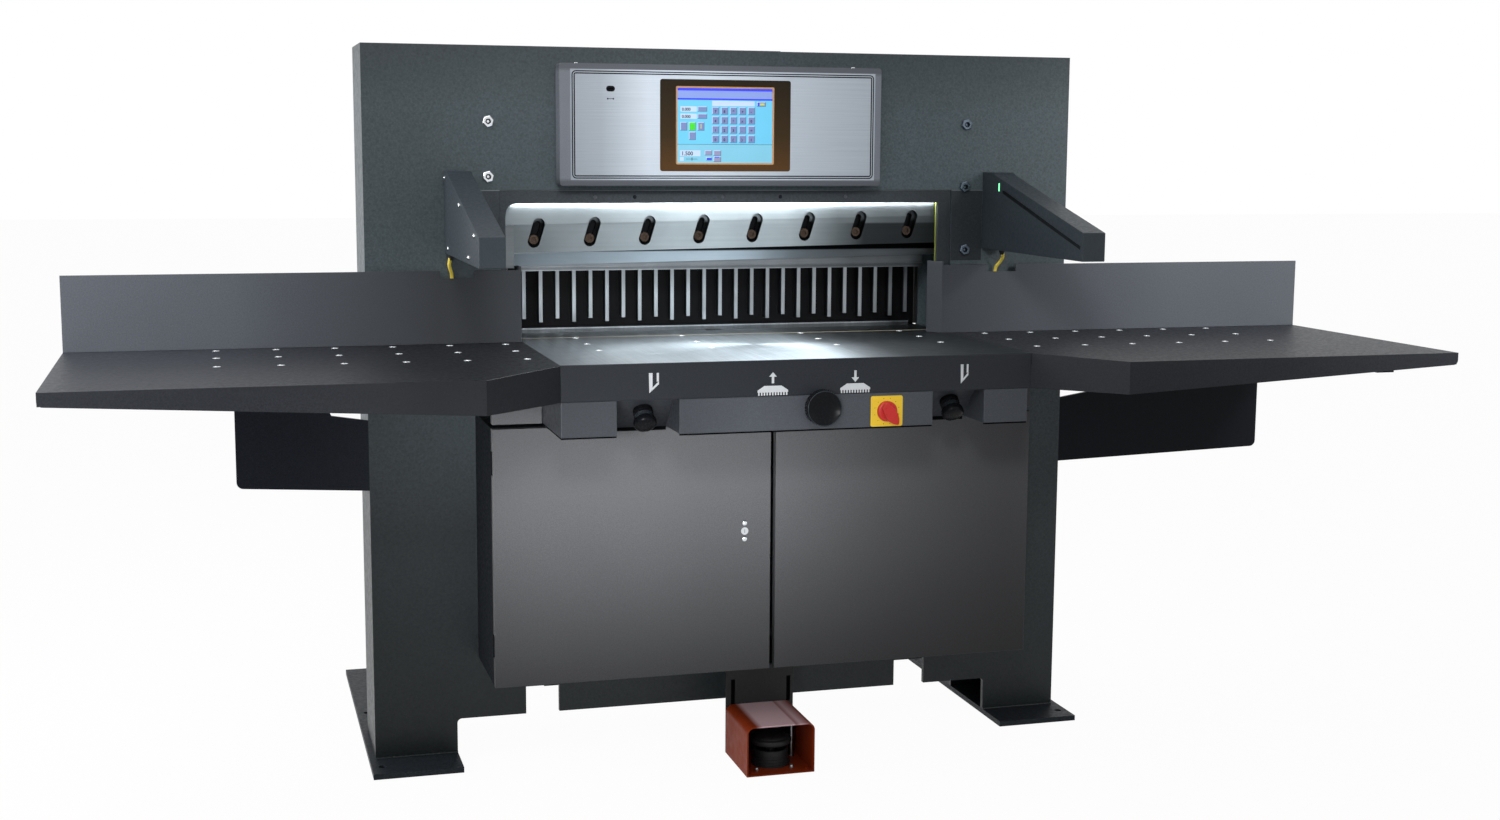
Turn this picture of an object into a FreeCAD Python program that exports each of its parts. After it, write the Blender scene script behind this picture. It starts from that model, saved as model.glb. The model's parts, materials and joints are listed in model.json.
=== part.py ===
import FreeCAD, Part
import math
import os

from FreeCAD import Vector

# Hydraulic guillotine for paper, in millimetres.
# X runs to the operator's right, Y from the operator to the back, Z up.
# While the pieces are drawn, Y is zero at the front face of the frame plate and Z at the floor.
# Each piece is moved along Y when it is saved, so that the origin lies under the middle of the whole.

X_AXIS = Vector(1, 0, 0)
Y_AXIS = Vector(0, 1, 0)
Z_AXIS = Vector(0, 0, 1)

# Fits
running = 0.05        # radial gap of a shaft in its bore
flat_gap = 0.3        # gap between flat faces that move past each other
slip = 1.0            # gap round a fixed piece in its cut-out

# Frame: front and rear plates, side plates, feet
head_width = 1590
head_top = 1528
frame_depth = 210
plate = 12
side_plate = 10
leg_width = 177
cross_bottom = 87
inner_corner = 10
foot_plate = 12
foot_front = -104
foot_back = 720
foot_overhang = 13
anchor_inset = 9
anchor_front_y = -57
anchor_back_y = 340
anchor_radius = 8
fork_centre = 430
fork_width = 74
fork_height = 61
cabinet_window_half = 520
cabinet_window_bottom = 200
cabinet_window_top = 790
throat_cheek = 283
throat_window_bottom = 830
throat_window_top = 1232
rear_window_top = 1200
window_corner = 20
cover_sheet = 3
cover_split = 105
cover_step = 1

# Throat plate and its opening
throat_left = -500
throat_right = 481
throat_top = 1204
throat_corner = 26
throat_plate_sheet = 9
throat_bottom = 912
jamb_width = 22
jamb_height = 2
lamp_half = 420
lamp_thick = 5.5
lamp_rise = 2
lamp_high = 16

# Tables
table_top = 910
table_thick = 40
table_front = -452
table_left = -468
table_right = 511
bed_clearance = 7
rib_front = 60
slot_margin = 20
bed_joint = 130
rear_end = 1125
lip_sheet = 4
lip_bottom = 838
table_rib = 20
table_rib_x = 310
stick_width = 10
stick_depth = 10

# Side tables
side_outer = 1392
side_front = -645
side_inner = 636
side_sheet = 8
skirt_sheet = 4
skirt_outer = 25
skirt_corner = 10
skirt_rise = 7
fence_face = -20
fence_sheet = 4
fence_top = 1064
fence_return_top = 1072
fence_return_back = 17
fence_return_lean = 22
fence_left_end = -471
fence_right_end = 485
notch_width = 72
notch_depth = 16
left_notch_x = -606
right_notch_x = 629
bracket_sheet = 8
beam_width = 40
left_bracket_reach = 1066
right_bracket_reach = 1315
bracket_bottom = 600
bracket_rise = 16
bracket_top = 750
bracket_top_rise = 12
bracket_top_reach = 75
bracket_top_land = 120
bracket_corner = 14
beam_height = 35
inner_beam_height = 50
left_outer_beam = 1040
right_outer_beam = 1250
inner_beam = 660
beam_front = -600

# Air-table balls
ball_radius = 5
ball_rise = 1.5
ball_gap = 0.3
main_ball_x = (-344, -105, 170, 407)
main_ball_y = (45, -83, -210)
side_ball_y = (-51, -185, -331)
left_ball_pitch = 117.5
right_ball_pitch = 112.2
side_ball_count = 6
left_ball_start = 512
right_ball_start = 578

# Display housing on the head
display_left = -391
display_right = 323
display_height = 255
display_drop = 31
display_depth = 45
display_rim = 23
display_sheet = 2
display_corner = 6
display_plate_extra = 9
display_plate_rim = 12
bezel_inset_left = 216
bezel_inset_right = 208
bezel_inset_bottom = 31
bezel_inset_top = 30
bezel_rise = 1.5
bezel_side = 38
bezel_side_right = 35
bezel_edge = 18
port_inset_x = 109
port_inset_z = 52
port_width = 16
port_height = 9

# Light curtain arms
arm_width = 50
left_arm_x = -629
right_arm_x = 587
arm_length = 518
arm_bottom = 1100
arm_nose_top = 1158
arm_knee_y = -70
arm_knee_top = 1266
arm_root_top = 1272
arm_knee_run = 12
arm_sheet = 3
lens_height = 8
lens_start = (-112, 1231)
lens_end = (-507, 1127)
lamp_y = -93
lamp_z = 1240
lamp_width = 8
lamp_height = 18

# Cables from the arms
cable_radius = 3.75
cable_start_y = -38
cable_run_y = -9
cable_drop = 6
cable_arc = 25
left_cable_x = -620
right_cable_x = 622
socket_top = 880
socket_height = 50
socket_width = 36
socket_depth = 26
gland_radius = 5
gland_rise = 4

# Cabinet and doors
door_left_edge = -570
door_gap_left = 16
door_gap_right = 27
door_right_edge = 605
door_bottom = 223
door_top = 759
door_front = -248
door_depth = 20
door_sheet = 2
cabinet_front = -222
cabinet_sheet = 3
hinge_inset_x = 9
hinge_inset_y = 10
hinge_radius = 4
hinge_heights = (300, 680)
knuckle_length = 30
hinge_arm_height = 14
hinge_arm_half = 5
hinge_arm_back = 41
hinge_cut_half = 12
hinge_cut_gap = 3
knuckle_half = 7
pin_short = 2
door_screw_radius = 3.5
door_screw_rise = 1.5
lock_rise = 2
lock_rim = 1
cam_gap = 2
spindle_radius = 4
keyway_half = 0.8
keyway_reach = 4
keyway_depth = 5
lock_x = -41
lock_z = 525
lock_radius = 7
cam_length = 75
cam_width = 12
cam_thick = 3
lock_screw_gap = 16

# Control housing under the table lip
housing_right = 503
housing_bottom = 769
housing_back = -240
housing_sheet = 3
left_recess = (-358, -234)
right_recess = (295, 407)
recess_wall_y = -383
recess_wall_z = 809
cutter_extra = 20
left_button_x = -291
right_button_x = 359
collar_radius = 20
collar_length = 14
stem_radius = 13
stem_start = 6
head_start = 24
head_end = 42
head_radius = 23
head_round = 6
button_travel = 5
knob_x = 53
knob_z = 815
knob_radius = 36
knob_back = -468
knob_front = -492
knob_skirt_radius = 28
knob_dish = 6
knob_shaft_radius = 6
knob_shaft_length = 40
knob_edge = 4
knob_rim = 6
switch_x = 195
switch_z = 801
switch_plate_width = 68
switch_plate_height = 62
switch_plate_sheet = 3
switch_radius = 21
switch_disc = 8
switch_grip = 9
switch_point = 33
switch_angle = -53
switch_shaft_radius = 5
switch_shaft_length = 25
grip_tail = 4
grip_tail_half = 6
grip_shoulder = 6
grip_half = 8

# Foot pedal
hood_left = -46
hood_right = 104
hood_front = -297
hood_back = -126
hood_top = 111
hood_bottom = 2
hood_sheet = 3
hood_corner = 16
hood_screw_inset = 14
hood_screw_radius = 4
hood_screw_rise = 3
pedal_bracket_sheet = 4
pedal_bracket_extra = 4
pedal_slot_left = 16
pedal_slot_right = 11
pedal_slot_width = 9
pedal_slot_bottom = 110
pedal_slot_top = 167
pedal_flange = 56
pedal_x = 28
pedal_y = -222
pedal_radius = 45
pedal_bottom = 50
pedal_top = 70
pedal_stem_radius = 10
pedal_travel = 8
pedal_body_half = 42
pedal_body_front = 44
pedal_body_gap = 10
pedal_body_floor = 3
pedal_end_gap = 4
pedal_edge = 6
pedal_body_top = 30
pedal_collar_top = 40
pedal_collar_radius = 38

# Knife
swing_angle = 20.5
knife_tilt = 0.954
edge_height = 1066
bar_bottom = 1095
bar_top = 1290
bar_end = 30
bar_right = 620
bar_front = 19
bar_thick = 28
bar_face = 61
bar_bevel = 60
bar_bevel_back = 8
blade_left = -550
blade_right = 545
blade_thick = 12
blade_height = 119
blade_bevel = 27
bevel_tip = 1
slot_count = 8
slot_first = -432
slot_pitch = 121.5
slot_centre_z = 1137.5
slot_width = 26
slot_length = 65
slot_lean = 18
slot_depth = 18
bolt_slot_width = 13
bolt_radius = 6
bolt_head_radius = 10
bolt_head = 10
bolt_drop = 15
pivot_inset = 185
pivot_z = 1180
pivot_radius = 12
slide_thick = 13.5
slide_half_width = 40
slide_half_height = 50
tongue_width = 20
tongue_height = 6.7
gib_gap = 0.5
gib_width = 79
gib_show_left = 19
gib_show_right = 1
gib_back_sheet = 8
gib_back_clearance = 1.5
gib_above_clamp = 10
gib_below_ledge = 75
guide_below = 240
guide_above = 80
guide_past_pivot = 15
guide_rail_below = 240
guide_rail_above = 60
right_guide_below = 230
right_guide_above = 150
groove_half = 300
lug_bottom = 1040
lug_top = 1088
knife_rod_radius = 12
knife_rod_y = 38
knife_rod_length = 245
knife_lug_wall = 10
knife_lug_front = 4
knife_cylinder_radius = 25
knife_cylinder_start = 205
knife_cylinder_length = 215
knife_cylinder_end = 5
knife_foot_half = 18
knife_foot_above = 60
knife_foot_below = 12

# Clamp
clamp_front = 62
clamp_thick = 56
clamp_bottom = 1056
clamp_left = -461
clamp_right = 470
clamp_step = 1222
clamp_top = 1290
clamp_lip = 8
clamp_overlap = 33
clamp_side_gap = 7
clamp_face_step = 6
pull_rod_inset = 17
pull_rod_radius = 13
yoke_bottom = 600
yoke_height = 60
yoke_depth = 40
clamp_rod_radius = 20
clamp_rod_length = 250
clamp_cylinder_radius = 45
clamp_cylinder_top = 450
clamp_cylinder_base = 18
weld = 5

# Back gauge and its screw
gauge_face = 171
gauge_left = -445
gauge_right = 478
gauge_top = 1090
gauge_base = 11
fin_count = 25
fin_first = -435
fin_pitch = 37.7
fin_width = 8
fin_depth = 25
fin_short_bottom = 942
fin_long_bottom = 934
gauge_back_sheet = 8
gauge_wall_reach = 22
crown_inset = 4
crown_height = 14
carriage_length = 84
carriage_half = 150
carriage_height = 40
nut_half = 18
nut_bottom = 832
nut_inset = 12
journal_gap = 1
nut_length = 50
screw_z = 848
screw_radius = 12
journal_radius = 8
bearing_length = 18
bearing_half = 30
gauge_motor_size = 90
gauge_motor_length = 90
gauge_motor_corner = 8
gauge_slot_half = 20

# Power units on the base shelf
shelf_bottom = 160
shelf_sheet = 12
tank_left = 90
tank_right = 560
tank_front = 25
tank_back = 185
tank_height = 230
tank_corner = 10
cap_radius = 25
cap_height = 20
cap_inset = 60
valve_inset = 60
valve_length = 140
valve_width = 70
valve_height = 45
motor_left = -370
motor_right = -110
motor_radius = 80
pump_radius = 45
pump_length = 52
motor_feet_inset = 40
motor_feet_width = 140
motor_feet_height = 40
motor_gap = 10
motor_box_start = 90
motor_box_length = 80
motor_box_width = 70
motor_box_rise = 25
blower_x = -485
blower_radius = 80
blower_depth = 60
blower_gap = 12
blower_outlet_inner = 30
blower_outlet_height = 130
blower_foot_half = 50
blower_foot_height = 25
blower_drive_radius = 45
blower_drive_length = 40

# Rear stand
post_offset = 82
post_width = 60
post_front = 640
stand_beam_bottom = 770
stand_beam_top = 826
riser_inner = 440
riser_width = 40

# Fasteners
nut_radius = 12
nut_height = 8
nut_hole = 6
frame_nuts = ((-535, 1375), (-536, 1260), (-536, 1097), (544, 1378), (543, 1239), (545, 1097))
screw_head = 5
ledge_screw_head = 4
nut_depth = 7
screw_rise = 2.5
ledge_screw_x = (-306, -220, -23, 108, 260)
ledge_screw_drop = 15
display_screw_left = 40
display_screw_right = 58
arm_top_screw_y = (-15, -248, -458)
arm_top_screw_drop = 14
arm_low_screw_y = (-60, -378)
arm_low_screw_rise = 13

# Worked-out values
half = head_width / 2
side_inside = half - side_plate
leg_inner = half - leg_width
foot_outer = half + foot_overhang
anchor_x = half - anchor_inset
throat_window_half = half - throat_cheek
bed_half = throat_window_half - bed_clearance
clamp_half = throat_window_half + clamp_overlap
pull_rod_x = clamp_half - pull_rod_inset
pivot_x = -(side_inside - pivot_inset)
bar_left = pivot_x - bar_end
post_outer = leg_inner + post_offset
display_top = head_top - display_drop
display_bottom = display_top - display_height
bezel_left = display_left + bezel_inset_left
bezel_right = display_right - bezel_inset_right
bezel_bottom = display_bottom + bezel_inset_bottom
bezel_top = display_top - bezel_inset_top
port_x = display_left + port_inset_x
port_z = display_top - port_inset_z
rear_front = frame_depth - plate
swing = math.radians(swing_angle)
travel_direction = Vector(-math.sin(swing), 0, -math.cos(swing))
blade_back = bar_front + bar_thick + blade_thick
machine_back = rear_end + gauge_motor_length
origin_y = (side_front + machine_back) / 2
arm_slope = (arm_knee_top - arm_nose_top) / (arm_length + arm_knee_y)
housing_front = table_front - lip_sheet
screw_front_bearing = bed_joint + 2
screw_rear_bearing = rear_end - bearing_length
tank_bottom = shelf_bottom + shelf_sheet


def block(x0, x1, y0, y1, z0, z1):
    """A box between two corners."""
    return Part.makeBox(x1 - x0, y1 - y0, z1 - z0, Vector(x0, y0, z0))


def rod(start, direction, radius, length):
    """A round bar from a point along a direction."""
    return Part.makeCylinder(radius, length, start, direction)


def face_of(points):
    """A flat face through a closed list of points."""
    return Part.Face(Part.makePolygon(points + [points[0]]))


def plate_xz(points, y0, y1):
    """A plate whose outline lies in X and Z, between two values of Y."""
    return face_of([Vector(x, y0, z) for x, z in points]).extrude(Vector(0, y1 - y0, 0))


def plate_xy(points, z0, z1):
    """A plate whose outline lies in X and Y, between two values of Z."""
    return face_of([Vector(x, y, z0) for x, y in points]).extrude(Vector(0, 0, z1 - z0))


def plate_yz(points, x0, x1):
    """A plate whose outline lies in Y and Z, between two values of X."""
    return face_of([Vector(x0, y, z) for y, z in points]).extrude(Vector(x1 - x0, 0, 0))


def round_off(shape, axis, spots, radius):
    """Fillet the edges along an axis that pass within 0.1 of one of the given spots."""
    chosen = []
    for edge in shape.Edges:
        if edge.Curve.TypeId != "Part::GeomLine":
            continue
        start, end = edge.Vertexes[0].Point, edge.Vertexes[-1].Point
        if abs(abs((end - start).normalize().dot(axis)) - 1) > 1e-6:
            continue
        for spot in spots:
            offset = start - spot
            offset = offset - axis * offset.dot(axis)
            if offset.Length < 0.1:
                chosen.append(edge)
                break
    return shape.makeFillet(radius, chosen)


def obround(x, z, width, length, lean, y0, y1):
    """A slot form with round ends, leaning to the right at its top, along Y."""
    reach = (length - width) / 2
    form = block(-width / 2, width / 2, y0, y1, -reach, reach)
    for end in (-reach, reach):
        form = form.fuse(rod(Vector(0, y0, end), Y_AXIS, width / 2, y1 - y0))
    form.rotate(Vector(0, 0, 0), Y_AXIS, lean)
    form.translate(Vector(x, 0, z))
    return form


def mirrored(shape):
    """The same shape on the other side of X = 0."""
    return shape.mirror(Vector(0, 0, 0), X_AXIS)


def save(node, *solids):
    """Write one node, moved so that the origin is under the middle of the machine."""
    group = Part.makeCompound([solid.copy() for solid in solids])
    group.translate(Vector(0, -origin_y, 0))
    group.exportStep("parts/" + node + ".step")


def portal(y0, y1):
    """The outline that the front and the rear frame plates share, with fork openings at its foot."""
    outline = [(-half, foot_plate), (-leg_inner, foot_plate), (-leg_inner, cross_bottom),
               (leg_inner, cross_bottom), (leg_inner, foot_plate), (half, foot_plate),
               (half, head_top), (-half, head_top)]
    shape = plate_xz(outline, y0, y1)
    shape = round_off(shape, Y_AXIS, [Vector(-leg_inner, y0, cross_bottom), Vector(leg_inner, y0, cross_bottom)],
                      inner_corner)
    for x in (-fork_centre, fork_centre):
        shape = shape.cut(block(x - fork_width / 2, x + fork_width / 2, y0 - 1, y1 + 1,
                                cross_bottom - 1, cross_bottom + fork_height))
    return shape


def window(half_width, z0, z1, y0, y1):
    """A cutter for a window with round corners."""
    cutter = block(-half_width, half_width, y0 - 1, y1 + 1, z0, z1)
    corners = [Vector(x, y0 - 1, z) for x in (-half_width, half_width) for z in (z0, z1)]
    return round_off(cutter, Y_AXIS, corners, window_corner)


def make_frame():
    """The welded frame: two plates, two sides, feet, shelf, cover and the rear stand."""
    front = portal(0, plate)
    front = front.cut(window(cabinet_window_half, cabinet_window_bottom, cabinet_window_top, 0, plate))
    front = front.cut(block(-throat_window_half, throat_window_half, -1, plate + 1,
                            throat_window_bottom, throat_window_top))
    save("front_frame_plate", front)

    rear = portal(rear_front, frame_depth)
    rear = rear.cut(window(throat_window_half, throat_window_bottom, rear_window_top, rear_front, frame_depth))
    save("rear_frame_plate", rear)

    side = block(side_inside, half, plate, rear_front, foot_plate, head_top)
    save("right_side_plate", side)
    save("left_side_plate", mirrored(side))

    foot = block(leg_inner, foot_outer, foot_front, foot_back, 0, foot_plate)
    for y in (anchor_front_y, anchor_back_y):
        foot = foot.cut(rod(Vector(anchor_x, y, -1), Z_AXIS, anchor_radius, foot_plate + 2))
    save("foot_plates", mirrored(foot), foot)

    left_cover = block(-half, cover_split, 0, frame_depth, head_top, head_top + cover_sheet + cover_step)
    right_cover = block(cover_split, half, 0, frame_depth, head_top, head_top + cover_sheet)
    save("head_cover", left_cover, right_cover)

    shelf = block(-side_inside, side_inside, plate, rear_front, shelf_bottom, tank_bottom)
    save("base_shelf", shelf)

    beam = block(-post_outer, post_outer, post_front, post_front + post_width, stand_beam_bottom, stand_beam_top)
    post = block(post_outer - post_width, post_outer, post_front, post_front + post_width,
                 foot_plate, stand_beam_bottom)
    riser = block(riser_inner, riser_inner + riser_width, post_front, post_front + post_width,
                  stand_beam_top, table_top - table_thick)
    stand = beam.fuse([post, mirrored(post), riser, mirrored(riser)]).removeSplitter()
    save("rear_stand", stand)


def make_throat():
    """The plate round the opening, the lamp above it and the strips that hold the knife bar in."""
    back = plate
    front = back - throat_plate_sheet
    edge = throat_window_half - slip
    sheet = block(-edge, edge, front, back, throat_bottom, throat_window_top - slip)
    opening = block(throat_left, throat_right, front - 1, back + 1, throat_bottom - 1, throat_top)
    opening = round_off(opening, Y_AXIS, [Vector(throat_left, front - 1, throat_top)], throat_corner)
    sheet = sheet.cut(opening)
    jamb = block(throat_right, throat_right + jamb_width, front - jamb_height, front, throat_bottom, throat_top)
    save("throat_plate", sheet.fuse(jamb).removeSplitter())

    lamp = block(-lamp_half, lamp_half, back, back + lamp_thick, throat_top + lamp_rise,
                 throat_top + lamp_rise + lamp_high)
    save("throat_lamp", lamp)

    gib_back = bar_front - gib_gap
    strip_bottom = clamp_bottom + gib_above_clamp
    strip_top = throat_window_top - slip
    left_edge = throat_left + gib_show_left
    left_strip = block(left_edge - gib_width, left_edge, back, gib_back, strip_bottom,
                       throat_window_top - gib_below_ledge)
    right_edge = throat_right - gib_show_right
    right_strip = block(right_edge, right_edge + gib_width, back, gib_back, strip_bottom, strip_top)
    base_front = bar_front + bar_thick + slide_thick + gib_back_clearance
    left_base = block(-side_inside, pivot_x + guide_past_pivot, base_front, base_front + gib_back_sheet,
                      pivot_z - guide_below, pivot_z + guide_above)
    tongue = block(-tongue_width / 2, tongue_width / 2, base_front - tongue_height, base_front,
                   -guide_rail_below, guide_rail_above)
    tongue.rotate(Vector(0, 0, 0), Y_AXIS, swing_angle)
    tongue.translate(Vector(pivot_x, 0, pivot_z))
    left_guide = left_base.fuse(tongue).removeSplitter()
    right_front = bar_front + bar_thick + flat_gap
    right_guide = block(clamp_half + clamp_side_gap, side_inside, right_front, right_front + gib_back_sheet,
                        pivot_z - right_guide_below, pivot_z + right_guide_above)
    save("knife_gibs", left_strip, right_strip, left_guide, right_guide)


def make_side_table(sign):
    """A side table: top sheet, tapered skirt and the row of ball holes."""
    inner = table_left if sign < 0 else -table_right
    back = fence_face + fence_sheet
    corner_y = table_front - lip_sheet
    outline = [(-side_outer, bracket_sheet), (-side_outer, side_front), (-side_inner, side_front),
               (inner, corner_y), (inner, back), (-half - slip, back), (-half - slip, bracket_sheet)]
    top = plate_xy(outline, table_top - side_sheet, table_top)
    under = table_top - side_sheet
    deep = lip_bottom
    corner_z = deep + skirt_rise
    front_skirt = plate_xz([(-side_outer, under), (-side_outer, table_top - skirt_outer),
                            (-side_inner, corner_z), (-side_inner, under)], side_front, side_front + skirt_sheet)
    front_skirt = round_off(front_skirt, Y_AXIS, [Vector(-side_outer, side_front, table_top - skirt_outer)],
                            skirt_corner)
    run = Vector(inner + side_inner, corner_y - side_front, 0)
    length = run.Length
    slant = plate_xz([(0, under), (0, corner_z), (length, deep), (length, under)], 0, skirt_sheet)
    slant.rotate(Vector(0, 0, 0), Z_AXIS, math.degrees(math.atan2(run.y, run.x)))
    slant.translate(Vector(-side_inner, side_front, 0))
    end_skirt = block(-side_outer, -side_outer + skirt_sheet, side_front + skirt_sheet, bracket_sheet,
                      table_top - skirt_outer, under)
    table = top.fuse([front_skirt, slant, end_skirt]).removeSplitter()
    first, pitch = (left_ball_start, left_ball_pitch) if sign < 0 else (right_ball_start, right_ball_pitch)
    for column in range(side_ball_count):
        for y in side_ball_y:
            spot = Vector(-first - column * pitch, y, table_top - side_sheet - 1)
            table = table.cut(rod(spot, Z_AXIS, ball_radius + ball_gap, side_sheet + 2))
    return table if sign < 0 else mirrored(table)


def make_fence(sign):
    """A back fence: a sheet across the side table and a return along the side of the throat."""
    end = fence_left_end if sign < 0 else -fence_right_end
    notch = left_notch_x if sign < 0 else -right_notch_x
    sheet = block(-side_outer, end, fence_face, fence_face + fence_sheet, table_top, fence_top)
    sheet = sheet.cut(block(notch - notch_width / 2, notch + notch_width / 2, fence_face - 1,
                            fence_face + fence_sheet + 1, fence_top - notch_depth, fence_top + 1))
    lean = 0 if sign < 0 else fence_return_lean
    back_sheet = plate_xy([(end - fence_sheet, fence_face), (end, fence_face), (end + lean, fence_return_back),
                           (end + lean - fence_sheet, fence_return_back)], table_top, fence_return_top)
    fence = sheet.fuse(back_sheet).removeSplitter()
    return fence if sign < 0 else mirrored(fence)


def make_brackets():
    """Plates on the legs and bars under the side tables that carry them."""
    top = table_top - side_sheet
    solids = []
    for sign, reach, outer_beam in ((-1, left_bracket_reach, left_outer_beam),
                                    (1, right_bracket_reach, right_outer_beam)):
        corner = bracket_bottom + bracket_rise
        outline = [(half, bracket_bottom), (reach, corner), (reach, top), (reach - bracket_top_land, top),
                   (half + bracket_top_reach, bracket_top + bracket_top_rise), (half, bracket_top)]
        wing = plate_xz([(sign * x, z) for x, z in outline], 0, bracket_sheet)
        wing = round_off(wing, Y_AXIS, [Vector(sign * reach, 0, corner)], bracket_corner)
        beam = block(sign * outer_beam - beam_width / 2, sign * outer_beam + beam_width / 2, beam_front, 0,
                     top - beam_height, top)
        solids.append(wing.fuse(beam).removeSplitter())
        solids.append(block(sign * inner_beam - beam_width / 2, sign * inner_beam + beam_width / 2,
                            beam_front, 0, top - inner_beam_height, top))
    save("side_table_brackets", *solids)


def ball_spots():
    """Every ball on the main and the side tables, as X and Y."""
    spots = [(x, y) for x in main_ball_x for y in main_ball_y]
    for column in range(side_ball_count):
        for y in side_ball_y:
            spots.append((-left_ball_start - column * left_ball_pitch, y))
            spots.append((right_ball_start + column * right_ball_pitch, y))
    return spots


def make_tables():
    """Main table with its cutting stick, rear table, front lip, side tables and fences."""
    under = table_top - table_thick
    front_part = block(table_left, table_right, table_front, 0, under, table_top)
    bed = block(-bed_half, bed_half, 0, bed_joint, under, table_top)
    table = front_part.fuse(bed)
    for x in (-table_rib_x, table_rib_x):
        table = table.fuse(block(x - table_rib / 2, x + table_rib / 2, table_front + rib_front, bed_joint,
                                 throat_window_bottom, under))
    table = table.removeSplitter()
    stick_front = blade_back - stick_width / 2
    table = table.cut(block(-bed_half - 1, bed_half + 1, stick_front, stick_front + stick_width,
                            table_top - stick_depth, table_top + 1))
    for x in main_ball_x:
        for y in main_ball_y:
            table = table.cut(rod(Vector(x, y, table_top - 2 * ball_radius), Z_AXIS, ball_radius + ball_gap,
                                  2 * ball_radius + 1))
    save("main_table", table)
    save("cutting_stick", block(-bed_half, bed_half, stick_front, stick_front + stick_width,
                                table_top - stick_depth, table_top))

    rear = block(-bed_half, bed_half, bed_joint, rear_end, under, table_top)
    rear = rear.cut(block(-gauge_slot_half, gauge_slot_half, bed_joint + slot_margin, screw_rear_bearing, under - 1,
                          table_top + 1))
    for y0 in (screw_front_bearing, screw_rear_bearing):
        holder = block(-bearing_half, bearing_half, y0, y0 + bearing_length, nut_bottom, under)
        holder = holder.cut(rod(Vector(0, y0 - 1, screw_z), Y_AXIS, journal_radius + running, bearing_length + 2))
        rear = rear.fuse(holder)
    save("rear_table", rear.removeSplitter())

    lip = block(table_left, table_right, table_front - lip_sheet, table_front, lip_bottom, table_top)
    save("table_front_lip", lip)

    save("left_side_table", make_side_table(-1))
    save("right_side_table", make_side_table(1))
    save("left_fence", make_fence(-1))
    save("right_fence", make_fence(1))
    make_brackets()

    balls = [Part.makeSphere(ball_radius, Vector(x, y, table_top - ball_radius + ball_rise))
             for x, y in ball_spots()]
    save("air_balls", *balls)


def make_display():
    """The display housing with its faceplate, bezel and screen."""
    front = -display_depth
    frame = block(display_left, display_right, front, 0, display_bottom, display_top)
    corners = [Vector(x, front, z) for x in (display_left, display_right) for z in (display_bottom, display_top)]
    frame = round_off(frame, Y_AXIS, corners, display_corner)
    sheet_box = (display_left + display_rim, display_right - display_rim + display_plate_extra,
                 front, front + display_sheet, display_bottom + display_plate_rim, display_top - display_plate_rim)
    frame = frame.cut(block(*sheet_box))
    save("display_frame", frame)

    sheet = block(*sheet_box)
    sheet = sheet.cut(block(port_x - port_width / 2, port_x + port_width / 2, front - 1, front + display_sheet + 1,
                            port_z - port_height / 2, port_z + port_height / 2))
    save("display_plate", sheet)

    bezel = block(bezel_left, bezel_right, front - bezel_rise, front, bezel_bottom, bezel_top)
    x0, x1 = bezel_left + bezel_side, bezel_right - bezel_side_right
    z0, z1 = bezel_bottom + bezel_edge, bezel_top - bezel_edge
    bezel = bezel.cut(block(x0, x1, front - bezel_rise - 1, front + 1, z0, z1))
    glass = block(x0, x1, front - bezel_rise / 2, front, z0, z1)
    save("touch_screen", bezel, glass)


def arm_top(y):
    """Height of a curtain arm's sloping top at a distance from the frame."""
    return arm_nose_top + arm_slope * (y + arm_length)


def arm_profile(wall):
    """Side view of a curtain arm as Y and Z points, drawn in by a wall except at its root."""
    drop = wall * math.hypot(1, arm_slope)
    nose = -arm_length + wall
    return [(0, arm_bottom + wall), (nose, arm_bottom + wall), (nose, arm_top(nose) - drop),
            (arm_knee_y, arm_knee_top - drop), (arm_knee_y + arm_knee_run, arm_root_top - wall),
            (0, arm_root_top - wall)]


def make_arm(x0, inner_side):
    """One arm of the light curtain, with its lens strip and lamp in the side towards the throat."""
    arm = plate_yz(arm_profile(0), x0, x0 + arm_width)
    arm = arm.cut(plate_yz(arm_profile(arm_sheet), x0 + arm_sheet, x0 + arm_width - arm_sheet))
    wall_x = x0 + arm_width - arm_sheet if inner_side > 0 else x0
    y0, z0 = lens_start
    y1, z1 = lens_end
    rise = lens_height / 2
    strip = plate_yz([(y0, z0 - rise), (y1, z1 - rise), (y1, z1 + rise), (y0, z0 + rise)],
                     wall_x, wall_x + arm_sheet)
    lamp = block(wall_x, wall_x + arm_sheet, lamp_y - lamp_width / 2, lamp_y + lamp_width / 2,
                 lamp_z - lamp_height / 2, lamp_z + lamp_height / 2)
    arm = arm.cut(strip).cut(lamp)
    return arm, strip, lamp


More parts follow.
